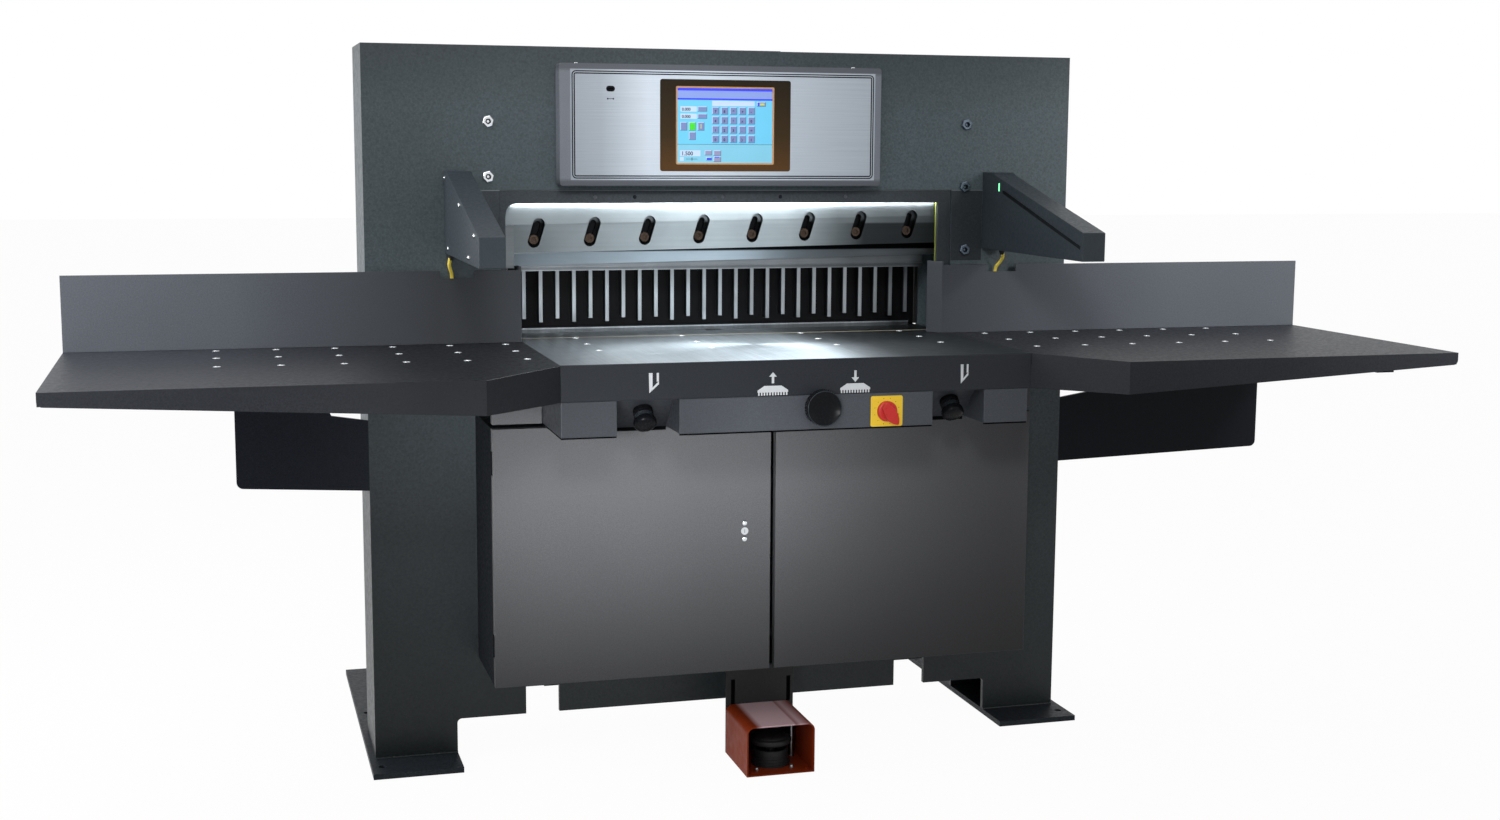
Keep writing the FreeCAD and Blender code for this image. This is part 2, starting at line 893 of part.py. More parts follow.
def make_cable(x):
    """A cable from the arm, back over the fence and down to its socket, with straight runs and two arcs."""
    quarter = math.radians(45)
    sideways = cable_run_y - cable_start_y
    slant = (sideways - 2 * cable_arc * (1 - math.cos(quarter))) / math.sin(quarter)
    p0 = Vector(x, cable_start_y, arm_bottom)
    p1 = p0 + Vector(0, 0, -cable_drop)
    centre = p1 + Vector(0, cable_arc, 0)
    mid = centre + Vector(0, -math.cos(quarter / 2), -math.sin(quarter / 2)) * cable_arc
    p2 = centre + Vector(0, -math.cos(quarter), -math.sin(quarter)) * cable_arc
    p3 = p2 + Vector(0, math.sin(quarter), -math.cos(quarter)) * slant
    centre = p3 + Vector(0, -math.cos(quarter), -math.sin(quarter)) * cable_arc
    mid2 = centre + Vector(0, math.cos(quarter / 2), math.sin(quarter / 2)) * cable_arc
    p4 = centre + Vector(0, cable_arc, 0)
    p5 = Vector(x, cable_run_y, socket_top)
    path = Part.Wire([Part.LineSegment(p0, p1).toShape(), Part.Arc(p1, mid, p2).toShape(),
                      Part.LineSegment(p2, p3).toShape(), Part.Arc(p3, mid2, p4).toShape(),
                      Part.LineSegment(p4, p5).toShape()])
    section = Part.Wire([Part.makeCircle(cable_radius, p0, Z_AXIS)])
    cable = path.makePipeShell([section], True, True)
    expected = math.pi * cable_radius ** 2 * path.Length
    print("cable length", round(path.Length, 1), "arc radii", cable_arc, cable_arc,
          "volume ratio", round(cable.Volume / expected, 4))
    return cable


def make_curtain():
    """Both arms of the light curtain, their lenses, cables and sockets."""
    left_arm, left_strip, left_lamp = make_arm(left_arm_x, 1)
    right_arm, right_strip, right_lamp = make_arm(right_arm_x, -1)
    solids = []
    for x in (left_cable_x, right_cable_x):
        hole = rod(Vector(x, cable_start_y, arm_bottom - 1), Z_AXIS, gland_radius, arm_sheet + 2)
        left_arm = left_arm.cut(hole)
        right_arm = right_arm.cut(hole)
        solids.append(make_cable(x))
        gland = rod(Vector(x, cable_start_y, arm_bottom), Z_AXIS, gland_radius, arm_sheet + gland_rise)
        solids.append(gland)
        socket = block(x - socket_width / 2, x + socket_width / 2, -socket_depth, 0,
                       socket_top - socket_height, socket_top)
        solids.append(socket)
    save("left_light_arm", left_arm)
    save("right_light_arm", right_arm)
    save("curtain_lenses", left_strip, left_lamp, right_strip, right_lamp)
    save("arm_cables", *solids)


def make_door(x0, x1, hinge_x):
    """A door pan with its hinge knuckles; its hinge side is cut away round the fixed hinge arms."""
    pan = block(x0, x1, door_front, door_front + door_depth, door_bottom, door_top)
    pan = pan.cut(block(x0 + door_sheet, x1 - door_sheet, door_front + door_sheet, door_front + door_depth + 1,
                        door_bottom + door_sheet, door_top - door_sheet))
    hinge_y = door_front + hinge_inset_y
    for z in hinge_heights:
        pan = pan.cut(block(hinge_x - hinge_cut_half, hinge_x + hinge_cut_half, door_front + door_sheet,
                            door_front + door_depth + 1, z - hinge_arm_height - hinge_cut_gap,
                            z + knuckle_length + hinge_cut_gap))
        knuckle = block(hinge_x - knuckle_half, hinge_x + knuckle_half, door_front + door_sheet,
                        hinge_y + knuckle_half, z, z + knuckle_length)
        knuckle = knuckle.cut(rod(Vector(hinge_x, hinge_y, z - 1), Z_AXIS, hinge_radius + running,
                                  knuckle_length + 2))
        pan = pan.fuse(knuckle)
    return pan.removeSplitter()


def make_hinge(hinge_x, side):
    """Fixed arms with pins; side is the inner face of the cabinet wall that they are fixed to."""
    solids = []
    hinge_y = door_front + hinge_inset_y
    for z in hinge_heights:
        low, high = min(side, hinge_x - hinge_arm_half), max(side, hinge_x + hinge_arm_half)
        arm = block(low, high, hinge_y - hinge_arm_half, hinge_y + hinge_arm_back, z - hinge_arm_height,
                    z - flat_gap)
        pin = rod(Vector(hinge_x, hinge_y, z - hinge_arm_height), Z_AXIS, hinge_radius,
                  hinge_arm_height + knuckle_length - pin_short)
        solids.append(arm.fuse(pin).removeSplitter())
    return solids


def make_cabinet():
    """The cabinet in front of the frame, its two doors, hinges and lock."""
    outer = block(door_left_edge, door_right_edge, cabinet_front, 0, door_bottom, door_top)
    shell = outer.cut(block(door_left_edge + cabinet_sheet, door_right_edge - cabinet_sheet, cabinet_front - 1, 1,
                            door_bottom + cabinet_sheet, door_top - cabinet_sheet))
    save("cabinet_shell", shell)

    left_hinge = door_left_edge + hinge_inset_x
    right_hinge = door_right_edge - hinge_inset_x
    left = make_door(door_left_edge, door_gap_left, left_hinge)
    lock_hole = rod(Vector(lock_x, door_front - 1, lock_z), Y_AXIS, lock_radius + running, door_sheet + 2)
    left = left.cut(lock_hole)
    screws = [rod(Vector(lock_x, door_front - door_screw_rise, lock_z + offset), Y_AXIS, door_screw_radius,
                  door_screw_rise) for offset in (-lock_screw_gap, lock_screw_gap)]
    save("left_door", left, *screws)
    save("right_door", make_door(door_gap_right, door_right_edge, right_hinge))
    pins = make_hinge(left_hinge, door_left_edge + cabinet_sheet)
    pins += make_hinge(right_hinge, door_right_edge - cabinet_sheet)
    save("door_hinges", *pins)

    cam_front = door_front + door_depth + cam_gap
    lock_front = door_front - lock_rise
    barrel_length = door_depth - lock_rise
    lock = rod(Vector(lock_x, lock_front, lock_z), Y_AXIS, lock_radius, barrel_length)
    rim = rod(Vector(lock_x, lock_front, lock_z), Y_AXIS, lock_radius + lock_rim, lock_rise - flat_gap)
    spindle = rod(Vector(lock_x, lock_front + barrel_length, lock_z), Y_AXIS, spindle_radius,
                  cam_front + cam_thick - lock_front - barrel_length)
    cam = block(lock_x - cam_width / 2, lock_x + cam_width / 2, cam_front, cam_front + cam_thick,
                lock_z - cam_length, lock_z + cam_width / 2)
    keyway = block(lock_x - keyway_half, lock_x + keyway_half, lock_front - 1, lock_front + keyway_depth,
                   lock_z - keyway_reach, lock_z + keyway_reach)
    save("door_lock", lock.fuse([rim, spindle, cam]).removeSplitter().cut(keyway))


def make_controls():
    """The housing under the lip with its buttons, hand knob and main switch."""
    front, back = housing_front, housing_back
    wall_sum = recess_wall_y + recess_wall_z

    def recess(x0, x1, wall):
        low, high = housing_bottom - cutter_extra, lip_bottom + cutter_extra
        slant = wall_sum + wall * math.sqrt(2)
        return plate_yz([(front - cutter_extra, low), (slant - low, low), (slant - high, high),
                         (front - cutter_extra, high)], x0 - wall, x1 + wall)

    outer = block(table_left, housing_right, front, back, housing_bottom, lip_bottom)
    inner = block(table_left + housing_sheet, housing_right - housing_sheet, front + housing_sheet, back + 1,
                  housing_bottom + housing_sheet, lip_bottom + 1)
    for x0, x1 in (left_recess, right_recess):
        outer = outer.cut(recess(x0, x1, 0))
        inner = inner.cut(recess(x0, x1, housing_sheet))
    housing = outer.cut(inner)
    for x, z, radius in ((knob_x, knob_z, knob_shaft_radius), (switch_x, switch_z, switch_shaft_radius)):
        housing = housing.cut(rod(Vector(x, front - 1, z), Y_AXIS, radius + running, housing_sheet + 2))
    save("control_housing", housing)

    collars = []
    for name, x in (("left_cut_button", left_button_x), ("right_cut_button", right_button_x)):
        start = Vector(x, recess_wall_y, recess_wall_z)
        out = Vector(0, -1, -1).normalize()
        collar = rod(start, out, collar_radius, collar_length)
        bore = rod(start + out * (stem_start - button_travel - flat_gap), out, stem_radius + running, collar_length)
        collars.append(collar.cut(bore))
        stem = rod(start + out * stem_start, out, stem_radius, head_start - stem_start + 1)
        head = rod(start + out * head_start, out, head_radius, head_end - head_start)
        rims = [edge for edge in head.Edges if edge.Curve.TypeId == "Part::GeomCircle"]
        head = head.makeFillet(head_round, rims)
        save(name, head.fuse(stem).removeSplitter())
    save("button_collars", *collars)

    knob = rod(Vector(knob_x, knob_front, knob_z), Y_AXIS, knob_radius, knob_back - knob_front)
    rims = [edge for edge in knob.Edges if edge.Curve.TypeId == "Part::GeomCircle"]
    knob = knob.makeFillet(knob_edge, rims)
    dish_radius = ((knob_radius - knob_rim) ** 2 + knob_dish ** 2) / (2 * knob_dish)
    knob = knob.cut(Part.makeSphere(dish_radius, Vector(knob_x, knob_front + knob_dish - dish_radius, knob_z)))
    skirt = rod(Vector(knob_x, knob_back - 1, knob_z), Y_AXIS, knob_skirt_radius,
                housing_front - flat_gap - knob_back + 1)
    shaft = rod(Vector(knob_x, knob_back, knob_z), Y_AXIS, knob_shaft_radius, knob_shaft_length)
    save("jog_knob", knob.fuse([skirt, shaft]).removeSplitter())

    plate_front = front - switch_plate_sheet
    yellow = block(switch_x - switch_plate_width / 2, switch_x + switch_plate_width / 2, plate_front, front,
                   switch_z - switch_plate_height / 2, switch_z + switch_plate_height / 2)
    yellow = yellow.cut(rod(Vector(switch_x, plate_front - 1, switch_z), Y_AXIS, switch_shaft_radius + running,
                            switch_plate_sheet + 2))
    save("switch_plate", yellow)
    disc_back = plate_front - flat_gap
    disc = rod(Vector(0, disc_back - switch_disc, 0), Y_AXIS, switch_radius, switch_disc)
    grip_front = disc_back - switch_disc - switch_grip
    tail, shoulder = -switch_radius + grip_tail, switch_radius - grip_shoulder
    grip = plate_xz([(tail, -grip_tail_half), (shoulder, -grip_half), (switch_point, 0),
                     (shoulder, grip_half), (tail, grip_tail_half)], grip_front, disc_back)
    stem = rod(Vector(0, disc_back, 0), Y_AXIS, switch_shaft_radius, switch_shaft_length)
    handle = disc.fuse([grip, stem]).removeSplitter()
    handle.rotate(Vector(0, 0, 0), Y_AXIS, -switch_angle)
    handle.translate(Vector(switch_x, 0, switch_z))
    save("switch_knob", handle)


def make_pedal():
    """The foot switch: hood, bracket, body and the pedal itself."""
    hood = block(hood_left, hood_right, hood_front, hood_back, hood_bottom, hood_top)
    tops = [Vector(x, hood_front, hood_top) for x in (hood_left, hood_right)]
    hood = round_off(hood, Y_AXIS, tops, hood_corner)
    room = block(hood_left + hood_sheet, hood_right - hood_sheet, hood_front - 1, hood_back + 1,
                 hood_bottom + hood_sheet, hood_top - hood_sheet)
    inner_tops = [Vector(x, hood_front - 1, hood_top - hood_sheet)
                  for x in (hood_left + hood_sheet, hood_right - hood_sheet)]
    room = round_off(room, Y_AXIS, inner_tops, hood_corner - hood_sheet)
    hood_screws = [rod(Vector(x, hood_front + hood_screw_inset, hood_bottom + hood_sheet), Z_AXIS,
                       hood_screw_radius, hood_screw_rise)
                   for x in (hood_left + hood_screw_inset, hood_right - hood_screw_inset)]
    save("pedal_hood", hood.cut(room), *hood_screws)

    back = hood_back + pedal_bracket_sheet
    edge = hood_right + pedal_bracket_extra
    sheet = block(hood_left, edge, hood_back, back, hood_bottom, door_bottom)
    for x in (hood_left + pedal_slot_left, edge - pedal_slot_right):
        sheet = sheet.cut(block(x - pedal_slot_width / 2, x + pedal_slot_width / 2, hood_back - 1, back + 1,
                                pedal_slot_bottom, pedal_slot_top))
    flange = block(hood_left, edge, back, back + pedal_flange, door_bottom - pedal_bracket_sheet, door_bottom)
    save("pedal_bracket", sheet.fuse(flange).removeSplitter())

    floor = hood_bottom + hood_sheet
    body = block(pedal_x - pedal_body_half, pedal_x + pedal_body_half, pedal_y - pedal_body_front,
                 hood_back - pedal_body_gap, floor, pedal_body_top)
    collar = rod(Vector(pedal_x, pedal_y, pedal_body_top), Z_AXIS, pedal_collar_radius,
                 pedal_collar_top - pedal_body_top)
    base = body.fuse(collar).removeSplitter()
    pit = floor + pedal_body_floor
    base = base.cut(rod(Vector(pedal_x, pedal_y, pit), Z_AXIS, pedal_stem_radius + running, pedal_collar_top))
    save("pedal_switch_body", base)

    pedal = rod(Vector(pedal_x, pedal_y, pedal_bottom), Z_AXIS, pedal_radius, pedal_top - pedal_bottom)
    rims = [edge for edge in pedal.Edges if edge.Curve.TypeId == "Part::GeomCircle"]
    pedal = pedal.makeFillet(pedal_edge, rims)
    stem_bottom = pit + pedal_travel + pedal_end_gap
    stem = rod(Vector(pedal_x, pedal_y, stem_bottom), Z_AXIS, pedal_stem_radius, pedal_bottom + 1 - stem_bottom)
    save("foot_pedal", pedal.fuse(stem).removeSplitter())


def tilt(shape):
    """Raise the right end of a knife piece to the slant that it has at the top of its stroke."""
    shape.rotate(Vector(pivot_x, 0, pivot_z), Y_AXIS, -knife_tilt)
    return shape


def make_knife():
    """Knife bar, blade and bolts, the slide that pulls them down at a slant, and its cylinder."""
    bar_back = bar_front + bar_thick
    profile = [(bar_front, bar_bottom), (bar_front, bar_bottom + bar_face),
               (bar_front + bar_bevel_back, bar_bottom + bar_face + bar_bevel),
               (bar_front + bar_bevel_back, bar_top), (bar_back, bar_top), (bar_back, bar_bottom)]
    bar = plate_yz(profile, bar_left, bar_right)
    bar = bar.cut(rod(Vector(pivot_x, bar_front - 1, pivot_z), Y_AXIS, pivot_radius + running, bar_thick + 2))
    blade_bottom = edge_height
    blade_profile = [(blade_back - bevel_tip, blade_bottom), (blade_back, blade_bottom),
                     (blade_back, blade_bottom + blade_height), (bar_back, blade_bottom + blade_height),
                     (bar_back, blade_bottom + blade_bevel)]
    blade = plate_yz(blade_profile, blade_left, blade_right)
    bolts = []
    shoulder = bar_front + slot_depth
    for index in range(slot_count):
        x = slot_first + index * slot_pitch
        bar = bar.cut(obround(x, slot_centre_z, slot_width, slot_length, slot_lean, bar_front - 1, shoulder))
        narrow = slot_length - slot_width + bolt_slot_width
        bar = bar.cut(obround(x, slot_centre_z, bolt_slot_width, narrow, slot_lean, shoulder - 1, bar_back + 1))
        bolt_x = x - bolt_drop * math.sin(math.radians(slot_lean))
        bolt_z = slot_centre_z - bolt_drop * math.cos(math.radians(slot_lean))
        head = rod(Vector(bolt_x, shoulder - bolt_head, bolt_z), Y_AXIS, bolt_head_radius, bolt_head)
        socket = rod(Vector(bolt_x, shoulder - bolt_head - 1, bolt_z), Y_AXIS, bolt_head_radius / 2, bolt_head / 2)
        shank = rod(Vector(bolt_x, shoulder - 1, bolt_z), Y_AXIS, bolt_radius, blade_back - shoulder - 1)
        bolts.append(tilt(head.cut(socket).fuse(shank).removeSplitter()))
        blade = blade.cut(rod(Vector(bolt_x, bar_back - 1, bolt_z), Y_AXIS, bolt_radius + running,
                              blade_thick + 2))
    save("knife_bar", tilt(bar))
    save("knife_blade", tilt(blade))
    save("knife_bolts", *bolts)

    slide_front = bar_back + gib_gap
    slide_back = slide_front + slide_thick
    slide = block(pivot_x - slide_half_width, pivot_x + slide_half_width, slide_front, slide_back,
                  lug_bottom, pivot_z + slide_half_height)
    groove_front = slide_back + gib_back_clearance - gib_gap - tongue_height - flat_gap
    groove = block(-tongue_width / 2 - running, tongue_width / 2 + running, groove_front, slide_back + 1,
                   -groove_half, groove_half)
    groove.rotate(Vector(0, 0, 0), Y_AXIS, swing_angle)
    groove.translate(Vector(pivot_x, 0, pivot_z))
    slide = slide.cut(groove)
    pin = rod(Vector(pivot_x, bar_front + 2, pivot_z), Y_AXIS, pivot_radius, slide_front - bar_front - 1)
    lug_half = knife_rod_radius + knife_lug_wall
    lug_front = knife_rod_y - knife_rod_radius - knife_lug_front
    lug = block(pivot_x - lug_half, pivot_x + lug_half, lug_front, slide_front + 1, lug_bottom, lug_top)
    rod_start = Vector(pivot_x, knife_rod_y, (lug_bottom + lug_top) / 2)
    pull = rod(rod_start, travel_direction, knife_rod_radius, knife_rod_length)
    save("knife_slide", slide.fuse([pin, lug, pull]).removeSplitter())

    top = rod_start + travel_direction * knife_cylinder_start
    cylinder = rod(top, travel_direction, knife_cylinder_radius, knife_cylinder_length)
    bottom = top + travel_direction * knife_cylinder_length
    foot = block(-side_inside, bottom.x, knife_rod_y - knife_foot_half, knife_rod_y + knife_foot_half,
                 bottom.z - knife_foot_below, bottom.z + knife_foot_above)
    cylinder = cylinder.fuse(foot).removeSplitter()
    cylinder = cylinder.cut(rod(top - travel_direction, travel_direction, knife_rod_radius + running,
                                knife_cylinder_length - knife_cylinder_end))
    save("knife_cylinder", cylinder)


def make_clamp():
    """The clamp bar with its pull rods and yoke, and the cylinder that draws it down."""
    back = clamp_front + clamp_thick
    face = clamp_front + clamp_face_step
    lower = plate_yz([(face, clamp_bottom + clamp_lip), (clamp_front, clamp_bottom + clamp_lip),
                      (clamp_front, clamp_bottom), (back, clamp_bottom), (back, clamp_step),
                      (face, clamp_step)], clamp_left, clamp_right)
    upper = block(-clamp_half, clamp_half, clamp_front, back, clamp_step, clamp_top)
    save("clamp_bar", lower.fuse(upper).removeSplitter())

    rod_y = clamp_front + clamp_thick / 2
    yoke = block(-clamp_half, clamp_half, rod_y - yoke_depth / 2, rod_y + yoke_depth / 2,
                 yoke_bottom, yoke_bottom + yoke_height)
    pieces = []
    for x in (-pull_rod_x, pull_rod_x):
        pieces.append(rod(Vector(x, rod_y, yoke_bottom + yoke_height - weld), Z_AXIS, pull_rod_radius,
                          clamp_step - yoke_bottom - yoke_height + weld))
    pieces.append(rod(Vector(0, rod_y, yoke_bottom + weld), Z_AXIS * -1, clamp_rod_radius, clamp_rod_length))
    save("clamp_pull_frame", yoke.fuse(pieces).removeSplitter())

    cylinder = rod(Vector(0, rod_y, tank_bottom), Z_AXIS, clamp_cylinder_radius, clamp_cylinder_top - tank_bottom)
    cylinder = cylinder.cut(rod(Vector(0, rod_y, tank_bottom + clamp_cylinder_base), Z_AXIS,
                                clamp_rod_radius + running, clamp_cylinder_top - tank_bottom))
    save("clamp_cylinder", cylinder)


def make_gauge():
    """The back gauge: comb face, carriage with its nut, lead screw and motor."""
    back = gauge_face + fin_depth
    base_top = table_top + flat_gap + gauge_base
    comb = block(gauge_left, gauge_right, gauge_face, back + gauge_back_sheet, table_top + flat_gap, base_top)
    wall = block(gauge_left - gauge_wall_reach, gauge_right + gauge_wall_reach, back, back + gauge_back_sheet,
                 table_top + flat_gap, gauge_top)
    crown = block(gauge_left, gauge_right, gauge_face + crown_inset, back, gauge_top - crown_height, gauge_top)
    fins = []
    for index in range(fin_count):
        x = fin_first + index * fin_pitch
        bottom = fin_short_bottom if index % 2 == 0 else fin_long_bottom
        fins.append(block(x - fin_width / 2, x + fin_width / 2, gauge_face, back, bottom, gauge_top - crown_inset))
    save("backgauge_comb", comb.fuse([wall, crown] + fins).removeSplitter())

    start = back + gauge_back_sheet
    body = block(-carriage_half, carriage_half, start, start + carriage_length, table_top + flat_gap,
                 table_top + carriage_height)
    nut_start = start + nut_inset
    nut = block(-nut_half, nut_half, nut_start, nut_start + nut_length, nut_bottom, table_top + weld)
    nut = nut.cut(rod(Vector(0, nut_start - 1, screw_z), Y_AXIS, screw_radius + running, nut_length + 2))
    save("backgauge_carriage", body.fuse(nut).removeSplitter())

    thread_start = screw_front_bearing + bearing_length + journal_gap
    thread_end = screw_rear_bearing - journal_gap
    screw = rod(Vector(0, thread_start, screw_z), Y_AXIS, screw_radius, thread_end - thread_start)
    journal = rod(Vector(0, screw_front_bearing + journal_gap, screw_z), Y_AXIS, journal_radius,
                  rear_end - flat_gap - screw_front_bearing - journal_gap)
    save("lead_screw", screw.fuse(journal).removeSplitter())

    size = gauge_motor_size / 2
    motor = block(-size, size, rear_end, rear_end + gauge_motor_length, screw_z - size, screw_z + size)
    edges = [Vector(x, rear_end, z) for x in (-size, size) for z in (screw_z - size, screw_z + size)]
    save("backgauge_motor", round_off(motor, Y_AXIS, edges, gauge_motor_corner))


def make_power():
    """Oil tank, pump with its motor, and the blower for the air table, all on the base shelf."""
    floor = tank_bottom
    tank = block(tank_left, tank_right, tank_front, tank_back, floor, floor + tank_height)
    upright = [Vector(x, y, floor) for x in (tank_left, tank_right) for y in (tank_front, tank_back)]
    tank = round_off(tank, Z_AXIS, upright, tank_corner)
    middle = (tank_front + tank_back) / 2
    lid = floor + tank_height
    cap = rod(Vector(tank_right - cap_inset, middle, lid), Z_AXIS, cap_radius, cap_height)
    valve_x = tank_left + valve_inset
    valve = block(valve_x, valve_x + valve_length, middle - valve_width / 2, middle + valve_width / 2,
                  lid, lid + valve_height)
    save("oil_tank", tank.fuse([cap, valve]).removeSplitter())

    axis_z = floor + motor_radius + motor_gap
    body = rod(Vector(motor_left, middle, axis_z), X_AXIS, motor_radius, motor_right - motor_left)
    pump = rod(Vector(motor_right, middle, axis_z), X_AXIS, pump_radius, pump_length)
    feet = block(motor_left + motor_feet_inset, motor_right - motor_feet_inset, middle - motor_feet_width / 2,
                 middle + motor_feet_width / 2, floor, floor + motor_feet_height)
    box_x = motor_left + motor_box_start
    box = block(box_x, box_x + motor_box_length, middle - motor_box_width / 2, middle + motor_box_width / 2,
                axis_z, axis_z + motor_radius + motor_box_rise)
    save("pump_motor", body.fuse([pump, feet, box]).removeSplitter())

    centre_z = floor + blower_radius + blower_gap
    front, back = middle - blower_depth / 2, middle + blower_depth / 2
    scroll = rod(Vector(blower_x, front, centre_z), Y_AXIS, blower_radius, blower_depth)
    outlet = block(blower_x + blower_outlet_inner, blower_x + blower_radius, front, back,
                   centre_z, centre_z + blower_outlet_height)
    foot = block(blower_x - blower_foot_half, blower_x + blower_foot_half, front, back, floor,
                 floor + blower_foot_height)
    drive = rod(Vector(blower_x, front + 1, centre_z), Y_AXIS * -1, blower_drive_radius, blower_drive_length)
    save("air_blower", scroll.fuse([outlet, foot, drive]).removeSplitter())


def screw_on(spot, direction, radius):
    """A small round screw head standing on a face."""
    return rod(spot, direction, radius, screw_rise)


def make_fasteners():
    """Adjusting nuts and screw heads on the fixed frame."""
    solids = []
    for x, z in frame_nuts:
        corners = [Vector(x + nut_radius * math.cos(math.radians(60 * i + 30)), -nut_height,
                          z + nut_radius * math.sin(math.radians(60 * i + 30))) for i in range(6)]
        nut = face_of(corners).extrude(Vector(0, nut_height, 0))
        solids.append(nut.cut(rod(Vector(x, -nut_height - 1, z), Y_AXIS, nut_hole, nut_depth)))
    throat_face = plate - throat_plate_sheet
    for x in ledge_screw_x:
        solids.append(screw_on(Vector(x, throat_face, throat_window_top - ledge_screw_drop),
                               Y_AXIS * -1, ledge_screw_head))
    for x in (display_left + display_screw_left, display_right - display_screw_right):
        solids.append(screw_on(Vector(x, -display_depth / 2, display_top), Z_AXIS, screw_head))
    spots = [(y, min(arm_top(y), arm_root_top) - arm_top_screw_drop) for y in arm_top_screw_y]
    spots += [(y, arm_bottom + arm_low_screw_rise) for y in arm_low_screw_y]
    for y, z in spots:
        solids.append(screw_on(Vector(left_arm_x, y, z), X_AXIS * -1, screw_head))
        solids.append(screw_on(Vector(right_arm_x + arm_width, y, z), X_AXIS, screw_head))
    save("frame_fasteners", *solids)


os.makedirs("parts", exist_ok=True)
make_frame()
make_throat()
make_tables()
make_display()
make_curtain()
make_cabinet()
make_controls()
make_pedal()
make_knife()
make_clamp()
make_gauge()
make_power()
make_fasteners()
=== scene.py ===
import json
from math import cos, pi, radians, sin

import bmesh
import bpy
from mathutils import Matrix, Vector, noise

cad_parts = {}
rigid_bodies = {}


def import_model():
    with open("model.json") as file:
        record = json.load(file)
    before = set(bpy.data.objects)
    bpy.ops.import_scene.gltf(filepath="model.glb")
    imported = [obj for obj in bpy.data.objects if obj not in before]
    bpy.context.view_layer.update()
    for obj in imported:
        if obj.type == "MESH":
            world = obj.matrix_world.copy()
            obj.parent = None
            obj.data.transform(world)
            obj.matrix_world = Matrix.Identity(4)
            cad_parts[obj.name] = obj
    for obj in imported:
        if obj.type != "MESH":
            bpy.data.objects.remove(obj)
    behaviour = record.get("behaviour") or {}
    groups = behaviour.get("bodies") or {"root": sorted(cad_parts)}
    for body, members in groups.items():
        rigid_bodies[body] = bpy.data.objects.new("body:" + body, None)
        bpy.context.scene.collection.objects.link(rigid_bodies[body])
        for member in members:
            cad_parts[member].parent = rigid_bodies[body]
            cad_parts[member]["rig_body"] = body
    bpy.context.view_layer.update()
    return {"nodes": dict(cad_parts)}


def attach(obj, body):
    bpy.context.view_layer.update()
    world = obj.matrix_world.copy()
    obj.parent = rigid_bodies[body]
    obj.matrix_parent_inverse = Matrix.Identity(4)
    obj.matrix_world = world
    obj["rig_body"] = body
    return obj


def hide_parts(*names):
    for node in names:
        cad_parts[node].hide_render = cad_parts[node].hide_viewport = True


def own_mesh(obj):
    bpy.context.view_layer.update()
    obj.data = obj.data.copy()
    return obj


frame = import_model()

# Hydraulic guillotine. Places are in millimetres from the front face of the frame plate, as they
# are drawn; MID is the distance from that face back to the middle of the whole machine.
MID = 285.0
X, Y, Z = Vector((1, 0, 0)), Vector((0, 1, 0)), Vector((0, 0, 1))
PANEL_FRONT = -45.0  # the silver plate's face
HOUSING_FRONT = -456  # the control housing's and the table lip's face
BACK_PLATE = 210  # the rear frame plate's face
BUTTONS = {"left": (-291, -383, 809), "right": (359, -383, 809)}
SCREW_HEIGHT = 848  # the lead screw's axis
PEDAL_X, PEDAL_Y = 28, -222
CAMERA_TURN = (16.128, 8.049, 0.372)  # yaw, pitch and roll in degrees
CAMERA_PLACE = (-1.104, -4.245, 1.328)
CAMERA_LENS = 44.86
FLOOR_WHITE = 0.97
SOFT_LIGHT = 0.2
SCREEN_LIGHT = 0.22

scene = bpy.context.scene
scene.view_settings.view_transform = "Standard"
nodes = frame["nodes"]


def at(x, y, z):
    """A drawn point in millimetres as a point of the scene in metres."""
    return Vector((x, y - MID, z)) / 1000


def linear(r, g, b):
    """A screen colour of 0 to 255 as the linear colour that shaders take."""
    out = []
    for value in (r, g, b):
        value /= 255
        out.append(value / 12.92 if value <= 0.04045 else ((value + 0.055) / 1.055) ** 2.4)
    return (*out, 1.0)


def corners(name):
    """The places of a CAD node's vertices."""
    return [vert.co for vert in nodes[name].data.vertices]


def scaled(colour, share):
    """A linear colour made darker or lighter by a factor."""
    return tuple(min(1, part * share) for part in colour[:3]) + (1,)


def put(name, data):
    """Put an object in the scene."""
    obj = bpy.data.objects.new(name, data)
    scene.collection.objects.link(obj)
    return obj


# ---------- camera ----------

def make_camera():
    """The photograph's camera, fitted to the machine's straight edges."""
    yaw, pitch, roll = (radians(turn) for turn in CAMERA_TURN)
    turn = (Matrix.Rotation(-yaw, 4, "Z") @ Matrix.Rotation(pi / 2 - pitch, 4, "X")
            @ Matrix.Rotation(roll, 4, "Z"))
    data = bpy.data.cameras.new("camera")
    data.lens, data.sensor_width = CAMERA_LENS, 36
    data.clip_end = 100
    camera = put("camera", data)
    camera.matrix_world = Matrix.Translation(CAMERA_PLACE) @ turn
    scene.camera = camera


# ---------- materials ----------

